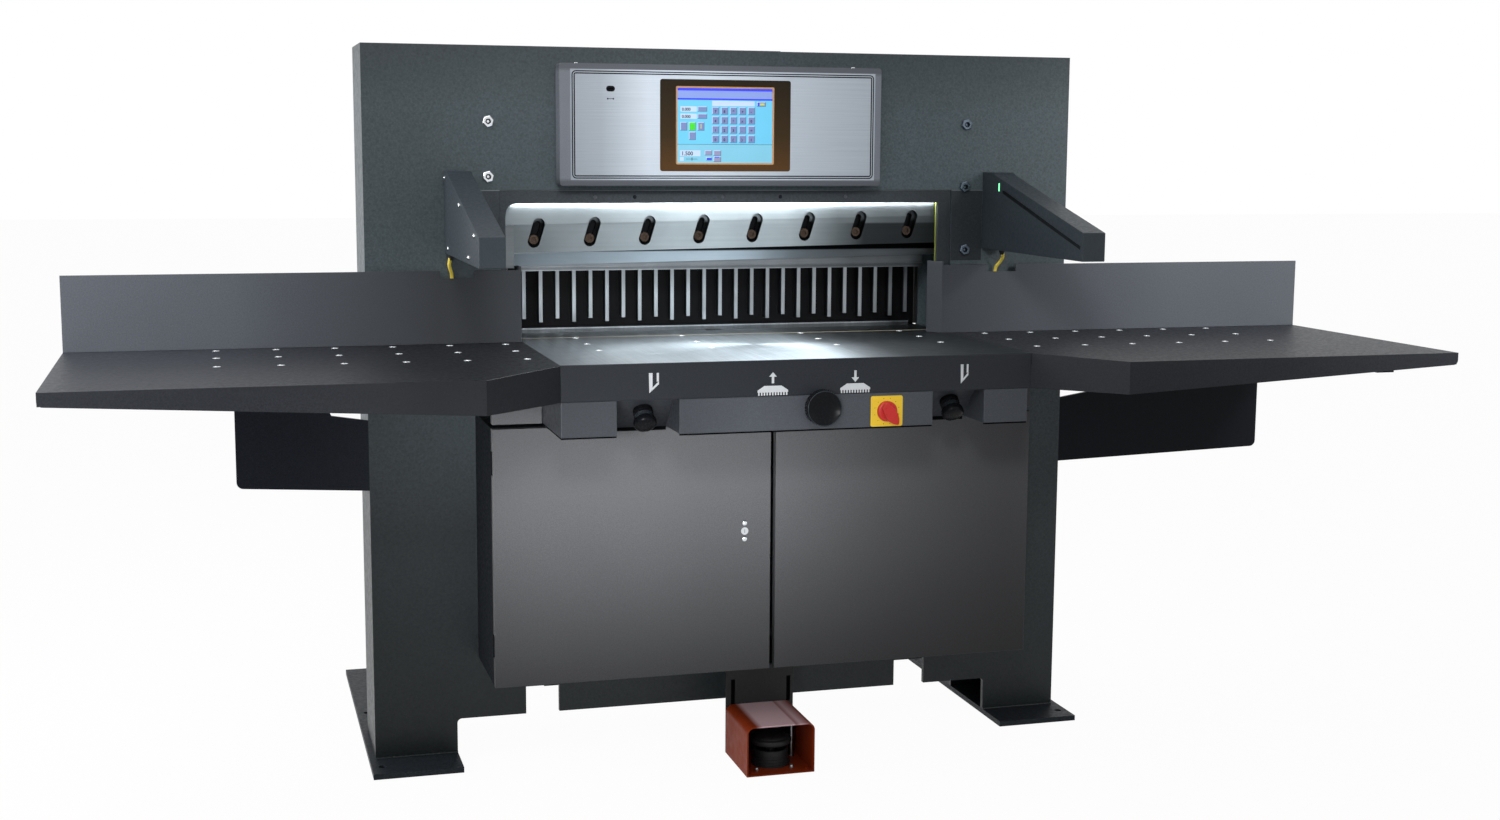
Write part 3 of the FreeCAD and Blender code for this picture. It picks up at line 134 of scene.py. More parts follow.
class Finish:
    """A material whose procedural nodes work in the machine's own coordinates."""

    def __init__(self, name, rough=0.5, metal=0.0, **sockets):
        self.material = bpy.data.materials.new(name)
        self.material.use_nodes = True
        self.tree = self.material.node_tree
        self.bsdf = self.tree.nodes["Principled BSDF"]
        for key, value in {"Roughness": rough, "Metallic": metal, **sockets}.items():
            self.set(key.replace("_", " "), value)
        self.place = self.tree.nodes.new("ShaderNodeTexCoord").outputs["Object"]
        self.normal = None

    def feed(self, socket, value):
        """Give a socket a number, a colour or another node's output."""
        if isinstance(value, bpy.types.NodeSocket):
            self.tree.links.new(value, socket)
        else:
            socket.default_value = value

    def set(self, socket, value):
        """Give a shader socket its value."""
        self.feed(self.bsdf.inputs[socket], value)

    def node(self, kind, inputs=(), **settings):
        """Add a node; inputs are the values of its sockets by name or number."""
        made = self.tree.nodes.new(kind)
        for key, value in settings.items():
            setattr(made, key, value)
        for key, value in dict(inputs).items():
            self.feed(made.inputs[key], value)
        return made

    def noise(self, scale, detail=4.0, stretch=None, soft=0.5, bend=0.0):
        """Noise from 0 to 1, in grains per metre; stretch gives them along each axis."""
        vector = self.place
        if stretch:
            vector = self.node("ShaderNodeMapping", {"Vector": vector, "Scale": stretch}).outputs[0]
        return self.node("ShaderNodeTexNoise", {"Vector": vector, "Scale": scale, "Detail": detail,
                                                "Roughness": soft, "Distortion": bend}).outputs[0]

    def ramp(self, value, *stops):
        """Turn a number into colours or greys at given stops."""
        made = self.node("ShaderNodeValToRGB", {"Fac": value})
        line = made.color_ramp
        while len(line.elements) < len(stops):
            line.elements.new(0.5)
        for element, (position, colour) in zip(line.elements, stops):
            element.position = position
            element.color = colour if isinstance(colour, tuple) else (colour, colour, colour, 1)
        return made.outputs[0]

    def mix(self, amount, first, second, way="MIX"):
        """Mix two colours."""
        inputs = {0: amount, 6: first, 7: second}
        return self.node("ShaderNodeMix", inputs, data_type="RGBA", blend_type=way).outputs[2]

    def maths(self, way, first, second):
        """Combine two numbers."""
        return self.node("ShaderNodeMath", {0: first, 1: second}, operation=way).outputs[0]

    def along(self, axis, low, high, vector=None):
        """A number that runs from 0 to 1 between two places on an axis, in metres."""
        part = self.node("ShaderNodeSeparateXYZ", {"Vector": vector or self.place}).outputs[axis]
        return self.node("ShaderNodeMapRange", {"Value": part, "From Min": low, "From Max": high}).outputs[0]

    def facing(self, axis, low, high):
        """The same for the way that the surface faces."""
        return self.along(axis, low, high, self.node("ShaderNodeNewGeometry").outputs["True Normal"])

    def over(self, amount, colour, way="MIX"):
        """Lay a colour over the base colour."""
        face = self.bsdf.inputs["Base Color"].links[0].from_socket
        self.set("Base Color", self.mix(amount, face, colour, way))

    def darken(self, shade):
        """Multiply the base colour by a grey or colour."""
        self.over(1.0, shade, "MULTIPLY")

    def shade(self, *ramps):
        """Paint shade into the colour along axes, with ramps as in SHADES."""
        for axis, low, high, *stops in ramps:
            self.darken(self.ramp(self.along(axis, low, high), *stops))

    def bump(self, height, depth, strength=1.0):
        """Raise the surface by a height map, over what is there already."""
        inputs = {"Height": height, "Distance": depth, "Strength": strength}
        if self.normal:
            inputs["Normal"] = self.normal
        self.normal = self.node("ShaderNodeBump", inputs).outputs[0]
        self.set("Normal", self.normal)


# Name, screen colour, flecks, grains per metre, height of the grains in mm, roughness, gloss, patches.
PAINTS = {
    "frame": ("frame_hammered", (75, 86, 91), 0.10, 300, 0.5, 0.42, 0.25, 0.16),
    "throat": ("throat_hammered", (60, 66, 71), 0.10, 300, 0.4, 0.5, 0.2),
    "arm": ("arm_powder", (62, 71, 78), 0.06, 420, 0.3, 0.42, 0.2),
    "charcoal": ("charcoal_powder", (64, 67, 73), 0.10, 420, 0.4, 0.44, 0.1),
    # The fences take a lighter copy of the charcoal paint: painted light on their front faces.
    "fence": ("fence_lit_powder", (99, 104, 112), 0.08, 420, 0.3, 0.46, 0.2),
    "lip": ("lip_powder", (36, 39, 44), 0.10, 420, 0.4, 0.42, 0.15),
    # The foot plates take a darker copy of the frame's hammered paint: painted shade near the floor.
    "leg": ("leg_shaded_hammered", (42, 47, 52), 0.20, 300, 0.8, 0.45, 0.1),
    "door": ("door_powder", (97, 98, 101), 0.09, 520, 0.3, 0.42, 0.2),
    "housing": ("housing_powder", (72, 76, 82), 0.08, 420, 0.3, 0.38, 0.2),
    "black": ("black_satin", (34, 38, 46), 0.12, 420, 0.4, 0.45, 0.08),
    "panel_frame": ("panel_frame_paint", (113, 118, 127), 0.05, 500, 0.2, 0.40),
    # The cabinet shell's paint is darkened to painted shade.
    "shell": ("shell_shaded_powder", (17, 20, 24), 0.10, 420, 0.4, 0.5, 0.08),
    "rubber": ("rubber", (20, 21, 23), 0.10, 600, 0.2, 0.62),
    "red": ("red_plastic", (186, 42, 38), 0.03, 500, 0.1, 0.32),
    "yellow": ("yellow_plastic", (226, 190, 52), 0.03, 500, 0.1, 0.36),
    "icon": ("icon_film", (196, 200, 204), 0.03, 600, 0.1, 0.45),
    "cream": ("stick_plastic", (206, 200, 178), 0.05, 300, 0.2, 0.5),
    "plastic": ("black_plastic", (17, 18, 21), 0.08, 700, 0.1, 0.24, 0.06),
    "hood": ("rust_gloss", (137, 52, 23), 0.03, 160, 0.1, 0.4, 0.03, 0.12),
    # Flat black for let-in lines and gaps, also used for a sheet and a seal that stand in for shade.
    "gap_and_shade": ("gap_and_shade_black", (8, 9, 10), 0.05, 300, 0.1, 0.7, 0.0),
    "lens": ("lens_dark", (12, 14, 15), 0.05, 300, 0.1, 0.6, 0.1),
    "cable": ("yellow_cable", (255, 226, 92), 0.05, 500, 0.1, 0.42),
    "tan": ("bezel_rim", (198, 150, 100), 0.05, 400, 0.1, 0.3),
}

# Name, screen colour, roughness, grains per metre along each axis, wear, unevenness.
METALS = {
    "knife_bar": ("knife_bar_steel", (166, 178, 184), 0.46, (3, 60, 160), 0.10, 0.02),
    "blade": ("blade_steel", (182, 190, 196), 0.38, (4, 200, 200), 0.06, 0.01),
    "clamp": ("clamp_steel", (156, 164, 170), 0.38, (4, 200, 200), 0.15, 0.01),
    "machined": ("machined_steel", (160, 164, 168), 0.36, (60, 60, 60), 0.15, 0.07),
    "chrome": ("bright_steel", (222, 226, 230), 0.10, (300, 300, 300), 0.05, 0.07),
    "rust_bolt": ("oiled_bolt", (80, 68, 60), 0.5, (200, 200, 200), 0.4, 0.07),
    "guide": ("guide_steel", (92, 104, 116), 0.35, (200, 200, 6), 0.2, 0.07),
    "rib": ("rib_steel", (176, 184, 190), 0.36, (200, 200, 4), 0.2, 0.07),
    "strip": ("gib_steel", (104, 110, 114), 0.4, (4, 200, 200), 0.15, 0.07),
}

# The colours of the picture on the screen.
SCREEN = {"sky": (104, 192, 228), "blue": (54, 62, 232), "bar": (128, 150, 214), "low": (122, 190, 216),
          "white": (186, 206, 232), "key": (112, 128, 178), "rose": (140, 138, 176),
          "green": (62, 206, 40), "ink": (18, 24, 60), "mark": (196, 206, 90), "shade": (72, 118, 150)}

# Painted light and shade: how a finish darkens along the machine, as an axis, two places on it in metres, and
# the ramp's stops.
SHADES = {
    "frame": (("Z", 0.1, 0.9, (0.0, 0.22), (0.5, 0.27), (0.78, 0.7), (1.0, 1.0)),
              ("Z", 1.40, 1.53, (0.0, 1.0), (1.0, 0.62)),
              ("X", -0.8, 0.8, (0.0, 0.80), (1.0, 1.0))),
    "throat": (("X", -0.6, 0.6, (0.8, 1.0), (0.95, 0.5)),),
    "arm": (("X", -0.65, 0.65, (0.0, 0.82), (1.0, 0.54)),),
    "charcoal": (("X", -1.4, 1.4, (0.1, 1.0), (0.24, 0.33), (0.34, 0.28), (0.66, 0.42), (0.85, 0.44),
                  (1.0, 0.68)),),
    "fence": (("X", -1.4, 1.4, (0.12, 1.0), (0.27, 0.28), (0.66, 0.38), (0.72, 0.60), (0.88, 1.0)),),
    "door": (("Z", 0.15, 0.62, (0.0, 0.24), (1.0, 1.0)),
             ("X", 0.0, 0.55, (0.0, 1.0), (0.3, 0.82), (1.0, 0.5))),
    "housing": (("X", -0.45, 0.45, (0.0, 0.6), (0.25, 0.72), (0.4, 1.0), (1.0, 0.8)),),
    "black": (("X", -1.2, 1.2, (0.0, 1.0), (1.0, 0.42)),),
    "panel_frame": (("Z", 1.24, 1.50, (0.04, 0.5), (0.07, 1.0), (0.92, 1.0), (0.95, 0.55)),),
    "table": (("X", -0.5, 0.5, (0.0, 0.25), (0.3, 0.55), (0.42, 1.0), (0.6, 1.0), (0.64, 0.55), (0.67, 0.3),
               (0.75, 0.12), (1.0, 0.05)),),
    "clamp": (("Z", 1.056, 1.064, (0.15, 1.0), (0.3, 0.5), (0.9, 0.5), (1.0, 0.8)),
              ("X", -0.5, 0.5, (0.0, 1.0), (0.6, 0.85), (0.8, 0.4), (1.0, 0.3))),
    "silver": (("X", -0.37, 0.31, (0.0, 0.5), (0.1, 0.56), (0.25, 0.96), (0.45, 1.0), (0.72, 0.76),
                (1.0, 0.62)),),
}


def paint(name, screen, fleck, grain, pebble, rough, shine=0.3, patch=0.10):
    """Powder or hammered paint: fine flecks, faint large patches, pebbled surface."""
    finish = Finish(name, rough, Specular_IOR_Level=shine)
    base = linear(*screen)
    fine = finish.noise(grain, 3, soft=0.6)
    finish.set("Base Color", finish.ramp(fine, (0.32, scaled(base, (1 - fleck) ** 2)), (0.5, base),
                                         (0.68, scaled(base, (1 + fleck) ** 2))))
    finish.darken(finish.ramp(finish.noise(2.6, 3), (0.3, 1 - patch), (0.7, 1.0)))
    finish.set("Roughness", finish.ramp(finish.noise(grain / 3, 2), (0.3, rough - 0.06), (0.7, rough + 0.08)))
    finish.bump(fine, pebble / 1000, 0.5)
    return finish


def steel(name, screen, rough, grain, wear, uneven):
    """Bare metal with machining lines and patches of wear."""
    finish = Finish(name, rough, 1.0)
    base = linear(*screen)
    lines = finish.noise(1.0, 4, stretch=grain, soft=0.55)
    dirt = finish.noise(14, 4)
    finish.set("Base Color", finish.ramp(lines, (0.3, scaled(base, 1 - wear)), (0.7, base)))
    finish.darken(finish.ramp(dirt, (0.3, 1 - wear), (0.6, 1.0)))
    finish.set("Roughness", finish.ramp(dirt, (0.3, rough - uneven), (0.7, rough + uneven)))
    finish.bump(lines, 0.00003, 0.3)
    return finish


def lit(name, colour, strength):
    """A surface that gives off light of its own colour."""
    finish = Finish(name, 0.25)
    shade = finish.ramp(finish.noise(9, 2), (0.3, scaled(colour, 0.97)), (0.7, colour))
    finish.set("Base Color", shade)
    finish.set("Emission Color", shade)
    finish.set("Emission Strength", strength)
    return finish


def ground_table():
    """Ground and oiled cast iron with long fine lines."""
    table = Finish("ground_table", 0.34, 0.85, Anisotropic=0.5)
    streak = table.noise(1.0, 5, stretch=(240, 4, 4), soft=0.6)
    wide = table.noise(1.0, 3, stretch=(5, 1.4, 1), bend=0.8)
    table.set("Base Color", table.ramp(streak, (0.3, linear(178, 192, 200)), (0.7, linear(206, 218, 226))))
    table.over(0.25, table.ramp(wide, (0.3, linear(160, 168, 174)), (0.7, linear(240, 243, 246))), "MULTIPLY")
    table.set("Roughness", table.ramp(table.noise(22, 4, bend=1.5), (0.3, 0.38), (0.7, 0.44)))
    table.bump(streak, 0.00002, 0.15)
    return table


def silver_plate():
    """Brushed aluminium with lines from side to side."""
    plate = Finish("silver_plate", 0.36, 0.35)
    grain = plate.noise(1.0, 3, stretch=(6, 6, 500))
    lines = plate.ramp(grain, (0.3, linear(168, 178, 190)), (0.7, linear(212, 220, 230)))
    plate.set("Base Color", plate.mix(0.25, linear(196, 207, 218), lines))
    plate.bump(grain, 0.00002, 0.4)
    return plate


def bezel_gloss():
    """Brown gloss that is darker towards the top."""
    bezel = Finish("bezel_gloss", 0.3, Specular_IOR_Level=0.12)
    bezel.set("Base Color", bezel.ramp(bezel.along("Z", 1.27, 1.47), (0.0, linear(88, 60, 32)),
                                       (0.4, linear(56, 42, 22)), (1.0, linear(34, 26, 14))))
    bezel.darken(bezel.ramp(bezel.noise(400, 2), (0.3, 0.9), (0.7, 1.0)))
    return bezel


def shade_knife_bar(bar):
    """Painted light and shade: dark slot walls and hollows, a fall of light to the right, a duller band below
    the ledge and a darker bottom edge.
    """
    deep = bar.along("Y", (20.5 - MID) / 1000, (23 - MID) / 1000)
    low = bar.along("Z", 1.170, 1.160)
    wall = bar.maths("MULTIPLY", bar.facing("Y", -0.5, -0.2), bar.facing("Z", 0.6, 0.3))
    wall = bar.maths("MULTIPLY", wall, bar.along("Z", 1.102, 1.104))
    painted_slot_shade = bar.maths("MAXIMUM", bar.maths("MULTIPLY", deep, low), wall)
    across = bar.along("X", -0.5, 0.5)
    fall = bar.ramp(across, (0.0, 0.28), (0.25, 0.62), (0.45, 0.92), (0.64, 0.8), (0.75, 0.3), (0.81, 0.07),
                    (1.0, 0.05))
    band = bar.ramp(across, (0.0, 0.30), (0.2, 0.42), (0.42, 0.88), (0.62, 0.9), (0.75, 0.35), (1.0, 0.12))
    fall = bar.mix(bar.along("Z", 1.156, 1.160), fall, band)
    bar.darken(bar.mix(bar.along("Z", 1.0985, 1.098), fall, (0.5, 0.5, 0.5, 1)))
    bar.over(painted_slot_shade, linear(16, 17, 18))


def shade_ribs(ribs):
    """Painted shade: blacken the comb between its ribs and along its foot."""
    depth = ribs.along("Y", (171 - MID) / 1000, (177 - MID) / 1000)
    foot = max(place.z for place in corners("backgauge_comb") if place.z < 0.93)
    ribs.over(depth, linear(10, 11, 13))
    ribs.shade(("Z", foot - 0.0035, foot - 0.0025, (0.0, 0.35), (1.0, 1.0)))
    ribs.set("Specular IOR Level", 0.1)
    ribs.set("Metallic", ribs.ramp(depth, (0.0, 1.0), (1.0, 0.0)))


def shade_hood(hood):
    """The painted bright reflection on the hood's top."""
    top = max(place.z for place in corners("pedal_hood"))
    glare = hood.ramp(hood.along("X", -0.04, 0.10), (0.1, 0.0), (0.2, 0.92), (0.7, 0.92), (0.73, 0.3),
                      (0.8, 0.85), (0.95, 0.1))
    hood.over(hood.maths("MULTIPLY", hood.along("Z", top - 0.012, top - 0.002), glare), linear(222, 190, 196))


def make_materials():
    """Every finish of the machine, by its short name."""
    made = {key: paint(*row) for key, row in PAINTS.items()}
    made.update({key: steel(*row) for key, row in METALS.items()})
    made.update({key: lit("ui_" + key, linear(*colour), SCREEN_LIGHT) for key, colour in SCREEN.items()})
    # The air balls' finish gives off light of its own: painted highlights, with no lamp there.
    made.update(table=ground_table(), silver=silver_plate(), bezel=bezel_gloss(),
                ball=lit("ball_painted_glow", linear(236, 240, 244), 0.15),
                led=lit("led_green", linear(130, 255, 176), 1.4),
                glow=lit("lamp_glow", (1, 1, 1, 1), 2.0))
    coat = made["frame"]
    spots = coat.node("ShaderNodeTexVoronoi", {"Vector": coat.place, "Scale": 120}).outputs[0]
    coat.over(0.10, coat.ramp(spots, (0.25, linear(120, 150, 150)), (0.55, 1.0)), "OVERLAY")
    throat = made["throat"]
    # Painted highlight: a light line along the throat plate's top edge.
    throat.over(throat.along("Z", 1.2300, 1.2306), linear(128, 136, 140))
    shade_hood(made["hood"])
    shade_knife_bar(made["knife_bar"])
    # Painted shade: the blade's top, under the knife bar, is darkened.
    made["blade"].over(made["blade"].along("Z", 1.096, 1.099), linear(22, 23, 25))
    shade_ribs(made["rib"])
    strip = made["strip"]
    right = strip.along("X", 0.40, 0.42)
    strip.over(right, linear(116, 126, 52))
    strip.set("Metallic", strip.ramp(right, (0.0, 1.0), (1.0, 0.1)))
    for key, ramps in SHADES.items():
        made[key].shade(*ramps)
    return {key: finish.material for key, finish in made.items()}


M = make_materials()

# The CAD nodes that show each finish, where no piece stands in for them.
NODE_FINISH = {
    "frame": "front_frame_plate rear_frame_plate left_side_plate right_side_plate head_cover base_shelf "
             "rear_stand",
    "throat": "throat_plate",
    "arm": "left_light_arm right_light_arm",
    "charcoal": "left_side_table right_side_table oil_tank",
    "shell": "cabinet_shell",
    "fence": "left_fence right_fence",
    "door": "left_door right_door",
    "housing": "control_housing",
    "leg": "foot_plates",
    "lip": "table_front_lip",
    "rubber": "pedal_bracket",
    "black": "side_table_brackets backgauge_motor pump_motor air_blower pedal_switch_body door_hinges",
    "table": "main_table rear_table",
    "chrome": "door_lock clamp_pull_frame",
    "ball": "air_balls",
    "knife_bar": "knife_bar",
    "blade": "knife_blade",
    "clamp": "clamp_bar",
    "rib": "backgauge_comb",
    "machined": "knife_slide knife_cylinder clamp_cylinder backgauge_carriage lead_screw",
    "rust_bolt": "knife_bolts",
    "strip": "knife_gibs",
    "silver": "display_plate",
    "panel_frame": "display_frame",
    "plastic": "jog_knob foot_pedal left_cut_button right_cut_button button_collars",
    "bezel": "touch_screen",
    "yellow": "switch_plate",
    "red": "switch_knob",
    "hood": "pedal_hood",
    "cream": "cutting_stick",
    "glow": "throat_lamp",
    "lens": "curtain_lenses",
    "cable": "arm_cables",
    "icon": "frame_fasteners",
}


def finish_nodes():
    """Give every CAD node its procedural material."""
    for key, names in NODE_FINISH.items():
        for name in names.split():
            node = nodes[name]
            if not node.material_slots:
                node.data.materials.append(M[key])
            for slot in node.material_slots:
                slot.material = M[key]


# ---------- pieces ----------

def axes(axis):
    """A direction and two others square to it."""
    axis = Vector(axis).normalized()
    across = axis.orthogonal().normalized()
    return axis, across, axis.cross(across)


def circle(centre, across, other, radius, sides, phase=0.0):
    """Points round a centre, at a radius in millimetres."""
    turns = [2 * pi * (i + phase) / sides for i in range(sides)]
    return [centre + (across * cos(turn) + other * sin(turn)) * radius / 1000 for turn in turns]


class Piece:
    """A mesh built from boxes, turned forms, prisms and tubes, in drawn millimetres."""

    def __init__(self, name, *materials):
        self.name = name
        self.materials = materials
        self.bm = bmesh.new()

    def mark(self, faces, slot):
        for face in faces:
            face.material_index = slot
            face.smooth = True

    def box(self, x0, x1, y0, y1, z0, z1, slot=0, bevel=0.0):
        """A box with rounded edges."""
        low, high = at(x0, y0, z0), at(x1, y1, z1)
        spread = Matrix.Translation((low + high) / 2) @ Matrix.Diagonal((*(high - low), 1))
        part = bmesh.ops.create_cube(self.bm, size=1, matrix=spread)["verts"]
        self.finish_part(part, slot, bevel, 2)

    def finish_part(self, verts, slot, bevel, steps):
        """Give a part its material slot and round its edges."""
        self.mark({face for vert in verts for face in vert.link_faces}, slot)
        if bevel:
            edges = {edge for vert in verts for edge in vert.link_edges}
            result = bmesh.ops.bevel(self.bm, geom=list(edges), offset=bevel / 1000, segments=steps,
                                     profile=0.5, affect="EDGES", clamp_overlap=True)
            self.mark(result["faces"], slot)

    def skin(self, levels, slot=0, bevel=0.0, steps=2, closed=True):
        """Join outlines of X and Z points, each at its own place along Y."""
        rings = [[at(x, y, z) for x, z in outline] for outline, y in levels]
        self.sweep(rings, slot, bevel, steps, closed)

    def prism(self, outline, y0, y1, slot=0, bevel=0.0, steps=2):
        """A plate whose outline of X and Z points runs from y0 to y1."""
        self.skin(((outline, y0), (outline, y1)), slot, bevel, steps)

    def sweep(self, rings, slot=0, bevel=0.0, steps=2, closed=True):
        """Join rings of points into a closed skin."""
        made = [[self.bm.verts.new(point) for point in ring] for ring in rings]
        faces = []
        count = len(made[0])
        for one, two in zip(made, made[1:]):
            for i in range(count):
                j = (i + 1) % count
                faces.append(self.bm.faces.new((one[i], one[j], two[j], two[i])))
        if closed:
            faces.append(self.bm.faces.new(made[0][::-1]))
            faces.append(self.bm.faces.new(made[-1]))
        bmesh.ops.recalc_face_normals(self.bm, faces=faces)
        self.finish_part([vert for ring in made for vert in ring], slot, bevel, steps)

    def lathe(self, start, axis, profile, slot=0, sides=48, phase=0.0):
        """A turned form: profile gives (distance along the axis, radius) from end to end."""
        axis, across, other = axes(axis)
        self.sweep([circle(start + axis * along / 1000, across, other, max(radius, 0.02), sides, phase)
                    for along, radius in profile], slot)

    def tube(self, points, radius, slot=0, sides=10):
        """A round bar along points; a function may give the radius at each."""
        rings = []
        for i, point in enumerate(points):
            ahead = (points[min(i + 1, len(points) - 1)] - points[max(i - 1, 0)]).normalized()
            across = ahead.cross(Z if abs(ahead.z) < 0.9 else X).normalized()
            size = radius(i) if callable(radius) else radius
            rings.append(circle(point, across, ahead.cross(across), size, sides))
        self.sweep(rings, slot)

    def ring(self, centre, axis, radius, thick, slot=0, sides=48):
        """A thin round ring about an axis."""
        points = circle(centre, *axes(axis)[1:], radius, sides)
        self.tube(points + points[:1], thick, slot, 8)

    def done(self, body, slot_name, *replaced):
        """Put the piece in the scene, riding on a body."""
        mesh = bpy.data.meshes.new(self.name)
        self.bm.normal_update()
        self.bm.to_mesh(mesh)
        self.bm.free()
        for key in self.materials:
            mesh.materials.append(M[key])
        return place_mesh(mesh, self.name, body, slot_name, *replaced)


def place_mesh(mesh, name, body, slot_name, *replaced):
    """Put a mesh in the scene, riding on a body; its large faces set the shading of shared edges."""
    mesh.set_sharp_from_angle(angle=radians(35))
    obj = put(name, mesh)
    modifier = obj.modifiers.new("weighted", "WEIGHTED_NORMAL")
    modifier.weight = 100
    modifier.keep_sharp = True
    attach(obj, body)
    if replaced:
        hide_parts(*replaced)
    return obj


def rounded(x0, x1, z0, z1, radius, steps=5):
    """The outline of a rectangle with round corners, as X and Z."""
    points = []
    for cx, cz, start in ((x1 - radius, z0 + radius, -90), (x1 - radius, z1 - radius, 0),
                          (x0 + radius, z1 - radius, 90), (x0 + radius, z0 + radius, 180)):
        for i in range(steps + 1):
            angle = radians(start + 90 * i / steps)
            points.append((cx + radius * cos(angle), cz + radius * sin(angle)))
    return points


def soften(name, width, slot_name, key):
    """Stand a copy of a CAD node in for it, with its long sharp edges rounded by a width in millimetres."""
    source = nodes[name]
    mesh = source.data.copy()
    mesh.name = name + "_dressed"
    bm = bmesh.new()
    bm.from_mesh(mesh)
    bmesh.ops.remove_doubles(bm, verts=bm.verts, dist=0.00002)
    bmesh.ops.dissolve_limit(bm, angle_limit=radians(1), verts=bm.verts, edges=bm.edges)
    edges = [edge for edge in bm.edges if len(edge.link_faces) == 2
             and edge.calc_face_angle(0) > radians(50) and edge.calc_length() > 0.03]
    bmesh.ops.bevel(bm, geom=edges, offset=width / 1000, segments=3, profile=0.5, affect="EDGES",
                    clamp_overlap=True)
    for face in bm.faces:
        face.smooth = True
    bm.to_mesh(mesh)
    bm.free()
    mesh.materials.clear()
    mesh.materials.append(M[key])
    place_mesh(mesh, mesh.name, source["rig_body"], slot_name, name)


def make_soft_edges():
    """Round the folds and cut edges that catch the light."""
    for side in ("left", "right"):
        soften(side + "_side_table", 3.0, "charcoal_paint", "charcoal")
        soften(side + "_fence", 0.8, "charcoal_paint", "fence")
        soften(side + "_light_arm", 2.5, "frame_paint", "arm")
        soften(side + "_door", 1.5, "frame_paint", "door")
    soften("table_front_lip", 2.5, "charcoal_paint", "lip")
    soften("control_housing", 3.0, "housing_paint", "housing")
    soften("display_frame", 3.0, "housing_paint", "panel_frame")


def make_cables():
    """The two yellow cables from the arms, back over the fence and down to their sockets."""
    for side, x, bow in (("left", -620, -5), ("right", 622, 5)):
        route = [(x, -38, 1100), (x + bow, -38, 1083.6), (x + 0.6 * bow, -26.4, 1072), (x - bow, -9, 1054.6),
                 (x - 0.2 * bow, -9, 1013.6), (x, -9, 880)]
        curve = bpy.data.curves.new(side + "_cable", "CURVE")
        curve.dimensions = "3D"
        curve.bevel_depth = 0.00375
        curve.bevel_resolution = 4
        curve.resolution_u = 16
        curve.use_fill_caps = True
        spline = curve.splines.new("NURBS")
        spline.points.add(len(route) - 1)
        for point, place in zip(spline.points, route):
            point.co = (*at(*place), 1)
        spline.order_u = 3
        spline.use_endpoint_u = True
        curve.materials.append(M["cable"])
        cable = put(side + "_cable", curve)
        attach(cable, "frame")
        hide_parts("arm_cables")
        ends = Piece(side + "_cable_ends", "rubber", "black")
        ends.lathe(at(x, -38, 1104), -Z,
                   [(0, 0), (0, 4.6), (4, 4.6), (4, 7), (9, 6.6), (13, 5), (17, 4.2), (17, 0)])
        ends.lathe(at(x, -9, 896), -Z, [(0, 0), (0, 4.4), (8, 5.6), (16, 7.5), (16.5, 0)])
        ends.box(x - 18, x + 18, -26, 0, 830, 880, slot=1, bevel=3)
        ends.done("frame", "black_plastic", "arm_cables")


